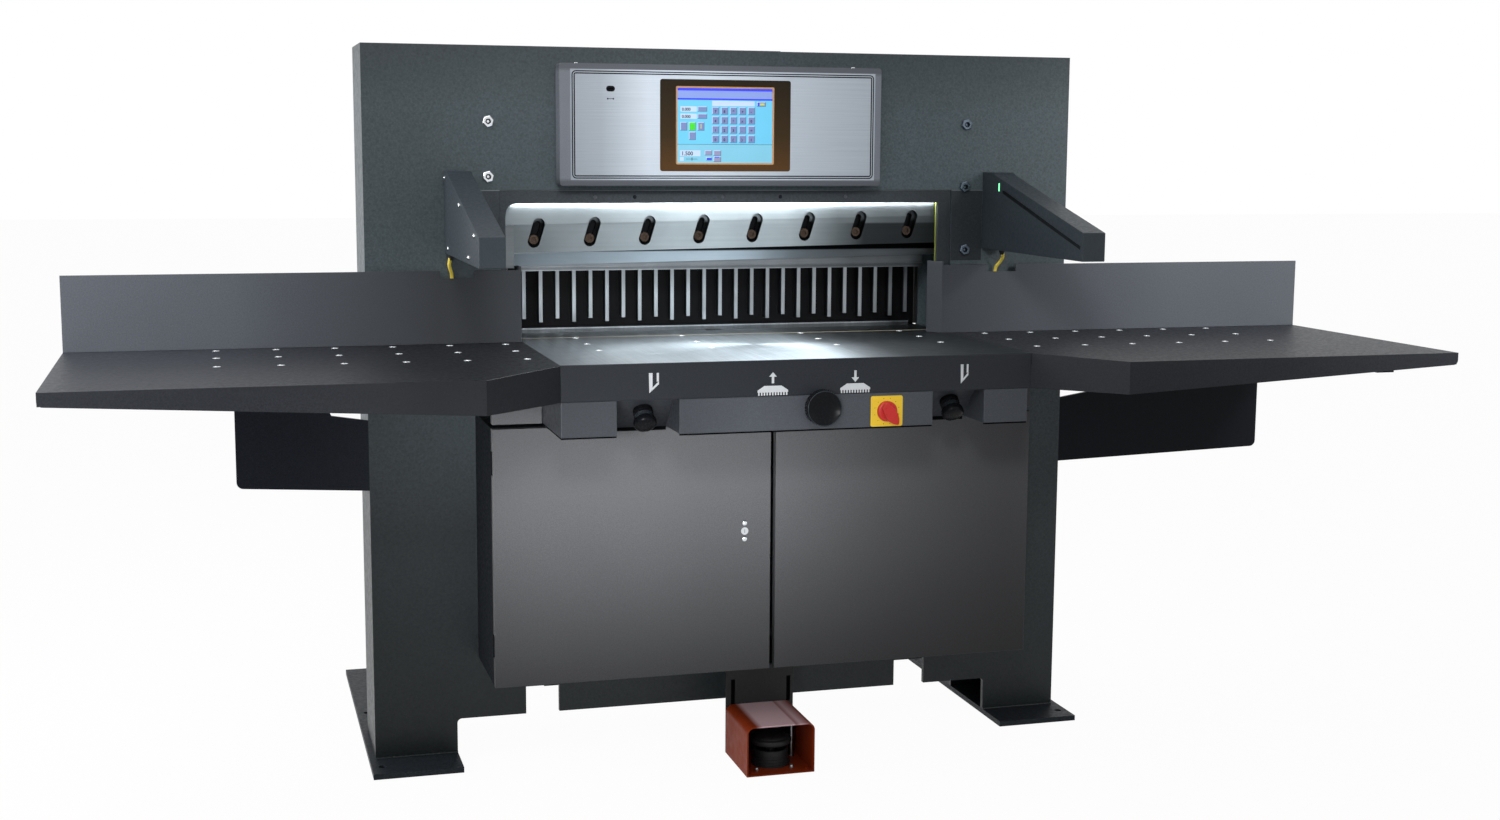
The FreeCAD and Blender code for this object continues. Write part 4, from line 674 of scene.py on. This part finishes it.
def make_screen():
    """The bezel, its glass and the picture that the screen shows, with plain numbers only."""
    front = PANEL_FRONT
    x0, x1, z0, z1 = -175, 115, 1273, 1467
    ox0, ox1, oz0, oz1 = x0 + 38, x1 - 41, z0 + 18, z1 - 18
    bezel = Piece("screen_bezel", "bezel", "tan")
    outer, edge = (rounded(x0 + inset, x1 - inset, z0 + inset, z1 - inset, 5) for inset in (0.0, 1.0))
    hole = rounded(ox0 - 3.6, ox1 + 3.6, oz0 - 3.6, oz1 + 3.6, 3)
    inner = rounded(ox0 - 0.4, ox1 + 0.4, oz0 - 0.4, oz1 + 0.4, 1.2)
    bezel.skin(((outer, front), (outer, front - 0.9), (edge, front - 1.5), (hole, front - 1.5)), closed=False)
    bezel.skin(((hole, front - 1.5), (inner, front - 1.2), (inner, front)), slot=1, closed=False)
    bezel.done("frame", "screen_glass", "touch_screen")

    picture = Piece("screen_picture", *SCREEN)
    width, height = ox1 - ox0, oz1 - oz0

    def area(u0, u1, v0, v1, key, layer):
        picture.box(ox0 + u0 * width, ox0 + u1 * width, front - 0.35 - 0.08 * layer, front - 0.05,
                    oz1 - v1 * height, oz1 - v0 * height, slot=list(SCREEN).index(key))

    def button(u0, u1, v0, v1, key):
        area(u0, u1, v0, v1, "shade", 1)
        area(u0, u1 - 0.006, v0, v1 - 0.008, "white", 2)
        area(u0 + 0.006, u1 - 0.006, v0 + 0.008, v1 - 0.008, key, 3)

    for v0, v1, key, layer in ((0, 0.75, "sky", 0), (0.755, 1, "low", 0), (0.75, 0.755, "ink", 0),
                               (0, 0.035, "blue", 1), (0.035, 0.135, "bar", 1),
                               (0.135, 0.158, "blue", 1)):
        area(0, 1, v0, v1, key, layer)
    area(0.361, 0.81, 0.167, 0.235, "white", 1)
    button(0.835, 0.93, 0.175, 0.24, "key")
    area(0.842, 0.858, 0.185, 0.23, "blue", 4)
    area(0.866, 0.915, 0.195, 0.222, "mark", 4)
    columns, rows = (0.361, 0.455, 0.55, 0.645, 0.74), (0.25, 0.377, 0.502, 0.628)
    for v in rows:
        for u in columns:
            button(u, u + 0.076, v, v + 0.103, "key")
    for v in (0.245, 0.342):
        area(0.03, 0.2, v, v + 0.07, "white", 1)
        button(0.21, 0.31, v, v + 0.07, "key")
    for u, key in ((0.03, "key"), (0.12, "green"), (0.21, "key")):
        button(u, u + 0.072, 0.455, 0.57, key)
    area(0.241, 0.25, 0.48, 0.54, "mark", 4)
    button(0.12, 0.192, 0.585, 0.695, "key")
    area(0.025, 0.24, 0.832, 0.912, "white", 1)
    for place in ((0.285, 0.362, 0.832, 0.9), (0.378, 0.458, 0.832, 0.905), (0.378, 0.458, 0.915, 0.988)):
        button(*place, "rose")
    button(0.3, 0.362, 0.925, 0.968, "blue")
    area(0.39, 0.44, 0.92, 0.93, "blue", 4)
    area(0.025, 0.065, 0.925, 0.975, "white", 1)
    area(0.09, 0.21, 0.948, 0.953, "ink", 1)
    area(0.148, 0.156, 0.93, 0.97, "ink", 1)
    picture.done("frame", "screen_glass", "touch_screen")

    words = [("0.000", 0.045, 0.303, 6.4), ("0.000", 0.045, 0.4, 6.4), ("1.500", 0.04, 0.9, 8.6)]
    for row, keys in enumerate(("789+-", "456x0", "123.=", "00()1")):
        for column, letter in enumerate(keys):
            words.append((letter, columns[column] + 0.027, rows[row] + 0.077, 5.6))
    numbers = Piece("screen_numbers", "ink")
    for text, u, v, size in words:
        curve = bpy.data.curves.new("digits", "FONT")
        curve.body = text
        curve.size = size * 1.35 / 1000
        curve.extrude = 0.00003
        curve.offset = 0.00022
        holder = put("digits_text", curve)
        holder.matrix_world = (Matrix.Translation(at(ox0 + u * width, front - 0.64, oz1 - v * height))
                               @ Matrix.Rotation(radians(90), 4, "X"))
        bpy.context.view_layer.update()
        part = bpy.data.meshes.new_from_object(holder.evaluated_get(bpy.context.evaluated_depsgraph_get()))
        part.transform(holder.matrix_world)
        numbers.bm.from_mesh(part)
        bpy.data.objects.remove(holder)
    numbers.done("frame", "screen_glass")


def make_panel_trim():
    """The double line let into the silver plate, and the port with its small mark."""
    trim = Piece("panel_trim", "gap_and_shade", "plastic")
    front = PANEL_FRONT
    x0, x1, z0, z1 = -365, 306, 1257, 1482
    for inset, wide in ((0, 2.2), (4.4, 2.4)):
        outer = rounded(x0 + inset, x1 - inset, z0 + inset, z1 - inset, 9 - inset)
        inset += wide
        inner = rounded(x0 + inset, x1 - inset, z0 + inset, z1 - inset, 9 - inset)
        trim.skin(((outer, front), (outer, front - 0.25), (inner, front - 0.25), (inner, front)),
                  closed=False)
    trim.prism(rounded(-291.5, -272.5, 1439, 1451, 5.8), front - 0.4, front + 1.5, slot=1)
    trim.prism(rounded(-288.0, -276.0, 1443.6, 1446.4, 1.2, 2), front - 0.6, front - 0.3)
    for x, wide in ((-288, 3.4), (-282, 1.1), (-276, 3.4)):
        trim.lathe(at(x, front + 0.1, 1424), -Y, [(0, 0), (0, wide / 2), (0.3, wide / 2), (0.3, 0)], 0, 16)
    trim.box(-288, -276, front - 0.3, front + 0.1, 1423.4, 1424.6)
    trim.done("frame", "silver_plate")


def make_icons():
    """Plain pictograms on the table lip: a knife over each cut button, clamp up and clamp down."""
    icons = Piece("lip_pictograms", "icon")
    front, back = HOUSING_FRONT - 0.35, HOUSING_FRONT + 0.1

    def strip(points):
        icons.prism(points, front, back)

    for x0, x1 in ((-295, -275), (354, 371)):
        left, right = (x1 - x0) * 0.36, (x1 - x0) * 0.22
        strip([(x0, 891), (x0 + 1, 852), (x0 + left, 860), (x0 + left, 891)])
        strip([(x0 + 1, 852), (x1, 869), (x1, 875), (x0 + left, 862), (x0 + left, 859)])
        strip([(x1 - right, 891), (x1 - right, 873.4), (x1, 874.9), (x1, 891)])
    for centre, tip, tail, neck in ((-44, 886, 864, 877), (128, 862, 885, 871)):
        left, right = centre - 31.5, centre + 31.5
        strip([(left + 14, 859), (right - 14, 859), (right, 850), (right, 846), (left, 846), (left, 850)])
        for i in range(11):
            tooth = left + 63 * (i + 0.22) / 11
            strip([(tooth, 840), (tooth, 846.2), (tooth + 2.9, 846.2), (tooth + 2.9, 840)])
        strip([(centre, tip), (centre - 8, neck), (centre - 2.4, neck), (centre - 2.4, tail),
               (centre + 2.4, tail), (centre + 2.4, neck), (centre + 8, neck)])
    icons.done("frame", "charcoal_paint")


def make_controls():
    """Mushroom buttons with ribbed necks, the dished hand knob and the main switch."""
    out = Vector((0, -1, -1)).normalized()
    for side, place in BUTTONS.items():
        start = at(*place)
        head = Piece(side + "_button_head", "plastic", "rubber")
        head.lathe(start, out, [(6, 0), (6, 12.8), (23.5, 12.8), (24, 19), (24.5, 21.5), (27, 22.8), (30, 23),
                                (36, 22.6), (39, 20.6), (41, 16.5), (41.8, 10), (42, 0)], 0, 56)
        head.done(side + "_cut_button", "black_plastic", side + "_cut_button")
        # The black plastic neck takes the lighter arm paint: a painted highlight on its ribs.
        neck = Piece(side + "_button_neck", "arm", "plastic")
        profile = [(14.1, 13.4), (14.1, 19)]
        for i in range(4):
            z = 14.6 + i * 2.3
            profile += [(z, 19.6 - i * 0.5), (z + 1.1, 18.6 - i * 0.5), (z + 1.5, 16.4)]
        profile += [(23.6, 17), (23.6, 13.4)]
        neck.lathe(start, out, profile, 0, 56)
        for i in range(4):
            neck.ring(start + out * (15.1 + i * 2.3) / 1000, out, 19.2 - i * 0.5, 0.5, 1)
        neck = neck.done("frame", "black_plastic")
        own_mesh(neck)

    collars = Piece("button_collars_dressed", "plastic")
    for place in BUTTONS.values():
        collars.lathe(at(*place), out, [(0.3, 13.3), (0.3, 19.6), (2, 20), (9, 20), (10, 18.6), (12.5, 18.6),
                                        (14, 17.6), (14, 13.3)], 0, 56)
    collars.done("frame", "black_plastic", "button_collars")

    knob = Piece("hand_knob", "plastic", "arm")
    face = at(53, -492, 815)
    rim = [(6, 0), (5.9, 8), (5.2, 16), (3.6, 24), (1.4, 30), (0.3, 32.4), (0, 34), (0.5, 35.6), (2.2, 35.9),
           (5, 36), (19, 36), (22, 35.2), (23.7, 32.8), (24, 30), (24, 28), (35.6, 28), (35.6, 6),
           (60, 6), (60, 0)]
    knob.lathe(face, Y, rim, 0, 72)
    # A lighter ring in the arm paint on the knob's rim: a painted highlight.
    knob.ring(face + Y * 0.0004, Y, 34.6, 0.55, 1, 64)
    knob.done("jog_knob", "black_plastic", "jog_knob")

    plate = Piece("switch_plate_dressed", "yellow", "plastic")
    plate.prism(rounded(161, 229, 770, 832, 4), -459, -456, bevel=0.8)
    for x in (166, 224):
        for z in (775, 827):
            plate.lathe(at(x, -459, z), -Y, [(0, 0), (0, 2.2), (0.5, 2.0), (0.6, 0)], 0, 20)
    for i in range(12):
        angle = radians(30 * i + 15)
        x, z = 195 + 26.5 * cos(angle), 801 + 26.5 * sin(angle)
        if abs(x - 195) < 26:
            plate.lathe(at(x, -459, z), -Y, [(0, 0), (0, 0.8), (0.15, 0.8), (0.15, 0)], 1, 8)
    plate.done("frame", "yellow_plastic", "switch_plate")

    disc = Piece("switch_handle", "red")
    centre = at(195, -459.3, 801)
    disc.lathe(centre, -Y,
               [(-25, 0), (-25, 5), (0, 5), (0, 21), (5.5, 20.4), (7.4, 18.6), (8, 16), (8, 0)], 0, 56)
    turn = radians(-53)
    outline = [(-17, -6), (-15, -8), (6, -13), (14, -12.4), (24, -8.4), (31, -3), (33, 0), (31, 3), (24, 8.4),
               (14, 12.4), (6, 13), (-15, 8), (-17, 6)]
    turned = [(195 + a * cos(turn) - b * sin(turn), 801 + a * sin(turn) + b * cos(turn))
              for a, b in outline]
    disc.prism(turned, -476.3, -467, bevel=2.2, steps=3)
    disc.done("switch_knob", "red_plastic", "switch_knob")


def make_fasteners():
    """Adjusting nuts with their set screws, and the small screws of the ledge, panel and arms."""
    nuts = Piece("adjusting_nuts", "chrome", "black", "guide")
    # The two upper left nuts take bright steel and the others the darker guide steel: painted light and shade
    # on like nuts.
    for x, z in ((-535, 1375), (-536, 1260), (-536, 1097), (544, 1378), (543, 1239), (545, 1097)):
        nuts.lathe(at(x, -1.8, z), -Y, [(-1.7, 6), (-1.7, 12.5), (5, 12.5), (6.2, 11), (6.2, 6.6), (0.5, 6)],
                   0 if x < 0 and z > 1100 else 2, 6, 0.5)
        nuts.lathe(at(x, -1, z), -Y,
                   [(0, 0), (0, 6.1), (2.6, 6.1), (3, 5.4), (3, 3.2), (1.2, 3), (1.2, 0)], 1, 6)
    nuts.done("frame", "polished_steel", "frame_fasteners")
    screws = Piece("small_screws", "chrome", "black", "panel_frame")

    def screw(start, out, radius, slot):
        shape = [(0, 0), (0, 1), (1.2, 1), (2.1, 0.8), (2.5, 0.5), (2.5, 0.42), (1.3, 0.4), (1.3, 0)]
        screws.lathe(start, out, [(height, radius * share) for height, share in shape], slot, 24)

    for x, slot in ((-306, 2), (-220, 1), (-23, 2), (108, 1), (260, 2)):
        screw(at(x, 3, 1217), -Y, 4, slot)
    for x in (-351, 265):
        screw(at(x, -22.5, 1497), Z, 5, 0)
    for y, z in ((-15, 1258), (-248, 1208.5), (-458, 1158), (-60, 1113), (-378, 1113)):
        screw(at(-629, y, z), -X, 5, 0)
        screw(at(637, y, z), X, 5, 0)
    screws.done("frame", "bare_steel", "frame_fasteners")


def make_ball_rings():
    """Painted highlights: a glowing bright ring in the table around each ball."""
    rings = Piece("ball_highlight_rings", "ball")
    found = []
    for x, y, z in corners("air_balls"):
        place = Vector((x, y))
        if z > 0.9112 and all((place - other).length > 0.02 for other in found):
            found.append(place)
    for x, y in found:
        rings.lathe(Vector((x, y, 0.91)), Z, [(0.05, 5.6), (0.3, 5.6), (0.3, 7.2), (0.05, 7.2)], 0, 24)
    rings.done("frame", "polished_steel")


def make_window_seals():
    """Black seals beside the gauge that also stand in for the shade there, and a dark sheet of painted shade
    behind the slots of the pedal's bracket.
    """
    seals = Piece("window_seals_and_shade", "rubber")
    seals.box(-511, -468, 198.3, 209.7, 912, 1198)
    seals.box(502.5, 511, 198.3, 209.7, 912, 1198)
    seals.done("frame", "black_plastic")
    bracket = [place for place in corners("pedal_bracket") if place.z > 0.12]
    x0, x1 = min(c.x for c in bracket) * 1000, max(c.x for c in bracket) * 1000
    back = min(c.y for c in bracket) * 1000 + MID + 4.05
    sheet = Piece("slot_shade_sheet", "gap_and_shade")
    sheet.box(x0 + 6, x1 - 6, back, back + 0.25, 100, 172)
    sheet.done("frame", "black_plastic")


def make_trim():
    """The ledge's ends up to the arms, panels over the doors, the housing's lower seal that is partly painted
    shadow, and a painted highlight on one edge.
    """
    ends = Piece("throat_ends", "throat")
    ends.box(-579, -512.2, -0.4, 0, 1073, 1232)
    ends.box(512.2, 587, -0.4, 0, 1073, 1232)
    ends.done("frame", "frame_paint")
    panels = Piece("upper_front_panels", "door")
    for x0, x1 in ((-570, -468.6), (503.6, 605)):
        panels.box(x0, x1, -249.5, -228, 768.6, 829, bevel=1.5)
    panels.done("frame", "frame_paint")
    # A black seal under the housing that also stands in for the shadow line below it: partly painted shade.
    seal = Piece("housing_seal_and_shadow", "gap_and_shade")
    for y0, y1, low, spans in ((-455, -452, 766.2, ((-467, -359), (-233, 294), (408, 502))),
                               (-343, -340, 761.5, ((-358, -234), (295, 407))),
                               (-455, -250, 766.2, ((-467, -464), (499, 502)))):
        for x0, x1 in spans:
            seal.box(x0, x1, y0, y1, low, 771)
    seal.done("frame", "black_plastic")
    # Painted highlight: a bright line along one top edge of the left side table.
    top = [place for place in corners("left_side_table") if place.z > 0.9095 and place.y < -0.7]
    outer = max(top, key=lambda c: (round(-c.y, 3), c.x))
    inner = max(top, key=lambda c: (round(c.x, 3), -c.y))
    highlight_line = Piece("edge_highlight", "icon")
    drop = Vector((-0.0006, 0.0006, -0.0009))
    highlight_line.tube([outer + drop, (outer + inner) / 2 + drop, inner + drop], 0.9, 0, 8)
    highlight_line.done("frame", "charcoal_paint")


def make_lock_screws():
    """The two screws over and under the door lock."""
    front = min(place.y for place in corners("left_door"))
    lock = [place for place in corners("door_lock") if place.y < front - 0.0001]
    x, z = ((min(c[i] for c in lock) + max(c[i] for c in lock)) * 500 for i in (0, 2))
    front = front * 1000 + MID
    heads = Piece("lock_screws", "chrome")
    for height in (z - 17, z + 17):
        heads.lathe(at(x, front + 0.1, height), -Y,
                    [(0, 0), (0, 5.5), (0.8, 5.4), (2, 4.2), (2.6, 2), (2.8, 0)], 0, 24)
    heads.done("left_door", "polished_steel")


def make_rear_panel():
    """The service panel on the back of the frame, with its louvres and screws."""
    panel = Piece("rear_panel", "frame", "rubber", "machined")
    back = BACK_PLATE + 2.6
    panel.prism(rounded(-330, 330, 330, 760, 14), BACK_PLATE + 0.2, BACK_PLATE + 2.7, bevel=0.8)
    for i in range(9):
        z = 400 + 26 * i
        for x0, x1 in ((-250, -30), (30, 250)):
            hood = ((back, z), (back, z + 13), (back + 0.8, z + 13), (back + 6.9, z + 1.6), (back + 6.9, z))
            panel.sweep([[at(x, *point) for point in hood] for x in (x0, x1)], bevel=0.5)
            panel.box(x0 + 3, x1 - 3, back - 0.2, back + 0.4, z - 5, z - 0.2, slot=1)
    for x in (-318, 0, 318):
        for z in (342, 748):
            panel.lathe(at(x, back, z), Y,
                        [(0, 0), (0, 6.5), (1.2, 6.3), (3.4, 4), (3.4, 2.4), (1.8, 2.3), (1.8, 0)], 2, 24)
    panel.done("frame", "frame_paint")


def make_curtain():
    """Light slits and lamps in the arms' inner sides."""
    slit = [(-112, 1227), (-507, 1123), (-507, 1131), (-112, 1235)]
    for side, x0, x1 in (("left", -582, -579.4), ("right", 587.4, 590)):
        lens = Piece(side + "_curtain_strip", "lens", "led")
        lens.sweep([[at(x, y, z) for y, z in slit] for x in (x0, x1)], bevel=0.4)
        lens.box(x0, x1, -97, -89, 1231, 1249, slot=1, bevel=0.8)
        lens.done("frame", "screen_glass", "curtain_lenses")


def make_pedal():
    """The stepped foot pedal under its hood."""
    pedal = Piece("pedal_cap", "rubber", "plastic")
    pedal.lathe(at(PEDAL_X, PEDAL_Y, 18), Z, [
        (0, 0), (0, 10), (32.5, 10), (32.5, 40), (34, 43), (37, 45), (42, 45), (44.5, 43.5), (46, 40),
        (46.4, 37), (48.6, 35.6), (50.6, 33), (51.4, 27), (52, 18), (52, 0)], 0, 64)
    pedal.done("foot_pedal", "black_plastic", "foot_pedal")
    base = Piece("pedal_base", "rubber", "machined")
    base.lathe(at(PEDAL_X, PEDAL_Y, 3), Z, [
        (0, 0), (0, 42), (6, 42), (7, 40), (12, 40), (13, 38.5), (18, 38.5), (19, 37), (24, 37), (25, 38),
        (36, 38), (37, 37), (37, 33), (20, 33), (20, 0)], 0, 64)
    base.lathe(at(86, -186, 3), Z, [(0, 0), (0, 8), (3, 8), (3, 5), (100, 5), (100, 0)], 1, 24)
    for x, y in ((-16, -266), (62, -266)):
        base.lathe(at(x, y, 3), Z, [(0, 0), (0, 4.5), (6, 4.5), (8, 3), (8, 0)], 1, 20)
    base.done("frame", "black_plastic", "pedal_switch_body")


def make_welds():
    """Weld beads where the legs stand on their foot plates."""
    bead = Piece("foot_welds", "frame")
    for sign in (-1, 1):
        for y in (-1, BACK_PLATE + 1):
            points = [at(sign * (618 + 177 * i / 44), y + 0.5 * noise.noise(Vector((i * 0.9, sign, y))), 12.6)
                      for i in range(45)]
            bead.tube(points, lambda i: 3.1 + 0.7 * sin(i * 2.1), 0, 8)
    bead.done("frame", "frame_paint")


def make_screw_thread():
    """The trapezoid thread of the gauge's lead screw."""
    screw = Piece("lead_screw_thread", "machined")
    start, end, pitch, sides = 151.0, 1106.0, 10.0, 20
    crest, root, flank = 12.0, 9.4, 10.7
    shares = (0.0, 0.34, 0.5, 0.84)
    rings = []
    for k in range(int((end - start) / pitch) * len(shares) + 1):
        turn, part = divmod(k, len(shares))
        y = min(start + 2 + (turn + shares[part]) * pitch, end)
        ring = []
        for i in range(sides):
            angle = 2 * pi * i / sides
            phase = (shares[part] + i / sides) % 1.0
            radius = crest if phase < 0.40 else root if 0.52 < phase < 0.88 else flank
            ring.append(at(radius * cos(angle), y, SCREW_HEIGHT + radius * sin(angle)))
        rings.append(ring)
    screw.sweep(rings)
    journal = [(0, 0), (0, 7.4), (0.6, 8), (19, 8), (20, 11.8), (21, 11.8), (21, 0)]
    screw.lathe(at(0, 133, SCREW_HEIGHT), Y, journal, 0, 32)
    journal = [(0, 0), (0, 11.8), (2, 11.8), (2.6, 8), (19.6, 8), (20.4, 7.2), (20.4, 0)]
    screw.lathe(at(0, 1104, SCREW_HEIGHT), Y, journal, 0, 32)
    screw.done("lead_screw", "bare_steel", "lead_screw")


# ---------- lights, floor ----------

def seen_white(tree):
    """A number that is 1 for rays that show the background: to the camera, and off gloss or through glass."""
    path = tree.nodes.new("ShaderNodeLightPath")
    seen = path.outputs["Is Camera Ray"]
    for kind in ("Is Glossy Ray", "Is Transmission Ray"):
        larger = tree.nodes.new("ShaderNodeMath")
        larger.operation = "MAXIMUM"
        tree.links.new(seen, larger.inputs[0])
        tree.links.new(path.outputs[kind], larger.inputs[1])
        seen = larger.outputs[0]
    return seen


def make_stage():
    """Plain pale floor and white surroundings."""
    bpy.ops.mesh.primitive_plane_add(size=60)
    floor = bpy.context.object
    floor.name = "floor"
    finish = Finish("floor_pale", 0.9)
    shade = finish.noise(3, 2)
    finish.set("Base Color", finish.ramp(shade, (0.0, 0.90), (1.0, 0.93)))
    tree = finish.tree
    white = finish.node("ShaderNodeEmission", {"Color": (1, 1, 1, 1)})
    share = finish.maths("MULTIPLY", seen_white(tree), FLOOR_WHITE)
    both = finish.node("ShaderNodeMixShader", {0: share, 1: finish.bsdf.outputs[0], 2: white.outputs[0]})
    tree.links.new(both.outputs[0], tree.nodes["Material Output"].inputs["Surface"])
    floor.data.materials.append(finish.material)

    world = bpy.data.worlds.new("surroundings")
    world.use_nodes = True
    scene.world = world
    tree = world.node_tree
    back = tree.nodes["Background"]
    back.inputs["Color"].default_value = (1, 1, 1, 1)
    level = tree.nodes.new("ShaderNodeMapRange")
    level.inputs["To Min"].default_value = SOFT_LIGHT
    tree.links.new(seen_white(tree), level.inputs["Value"])
    tree.links.new(level.outputs[0], back.inputs["Strength"])


def light(kind, name, place, target, power):
    """A light of a kind that faces a target."""
    data = bpy.data.lights.new(name, kind)
    data.energy = power
    obj = put(name, data)
    obj.location = place
    obj.rotation_euler = (Vector(target) - Vector(place)).to_track_quat("-Z", "Y").to_euler()
    return data


def lamp(name, place, target, size, power, size_y=None, spread=180):
    """A soft rectangular lamp."""
    data = light("AREA", name, place, target, power)
    data.shape = "RECTANGLE"
    data.size, data.size_y = size, size_y or size
    data.spread = radians(spread)


def spot(name, place, target, angle, power):
    """A soft round lamp whose light fades towards its edge."""
    data = light("SPOT", name, place, target, power)
    data.spot_size = radians(angle)
    data.spot_blend = 1.0
    data.shadow_soft_size = 0.3


def make_lights():
    """Soft studio light from the upper left and above, a weaker one from the right, and local glows."""
    spot("head_glow", (-0.9, -3.6, 2.5), (0.2, -0.1, 1.28), 46, 162)
    spot("left_glow", (-2.4, -3.0, 2.2), (-1.42, -0.3, 1.0), 26, 210)
    spot("right_glow", (2.2, -3.0, 2.2), (1.3, -0.3, 1.05), 32, 230)
    lamp("key", (-2.6, -3.4, 2.9), (-0.2, -0.4, 0.7), 2.0, 20)
    lamp("fill", (3.4, -3.0, 1.8), (0.4, -0.3, 0.7), 2.2, 8)
    lamp("top", (0.0, -0.9, 3.6), (0.0, -0.2, 0.9), 2.4, 22)
    lamp("left_rim", (-3.4, -0.35, 1.4), (-0.7, -0.2, 0.9), 1.6, 70)
    spot("left_door_glow", (-1.5, -3.3, 0.95), (-0.36, -0.53, 0.60), 19, 458)
    spot("right_door_glow", (-1.0, -3.3, 0.95), (0.12, -0.53, 0.66), 13, 240)
    spot("panel_glow", (-0.1, -2.6, 2.3), (-0.12, -0.33, 1.36), 16, 130)
    lamp("throat", at(0, 15, 1203), at(0, 60, 1100), 0.97, 0.9, size_y=0.004)
    lamp("table_glow", at(-30, -70, 1190), at(-30, -200, 910), 0.48, 1.6, size_y=0.16, spread=130)


make_camera()
make_cables()
finish_nodes()
make_soft_edges()
make_screen()
make_panel_trim()
make_icons()
make_controls()
make_fasteners()
make_ball_rings()
make_window_seals()
make_trim()
make_lock_screws()
make_rear_panel()
make_curtain()
make_pedal()
make_welds()
make_screw_thread()
make_stage()
make_lights()

bpy.context.view_layer.update()
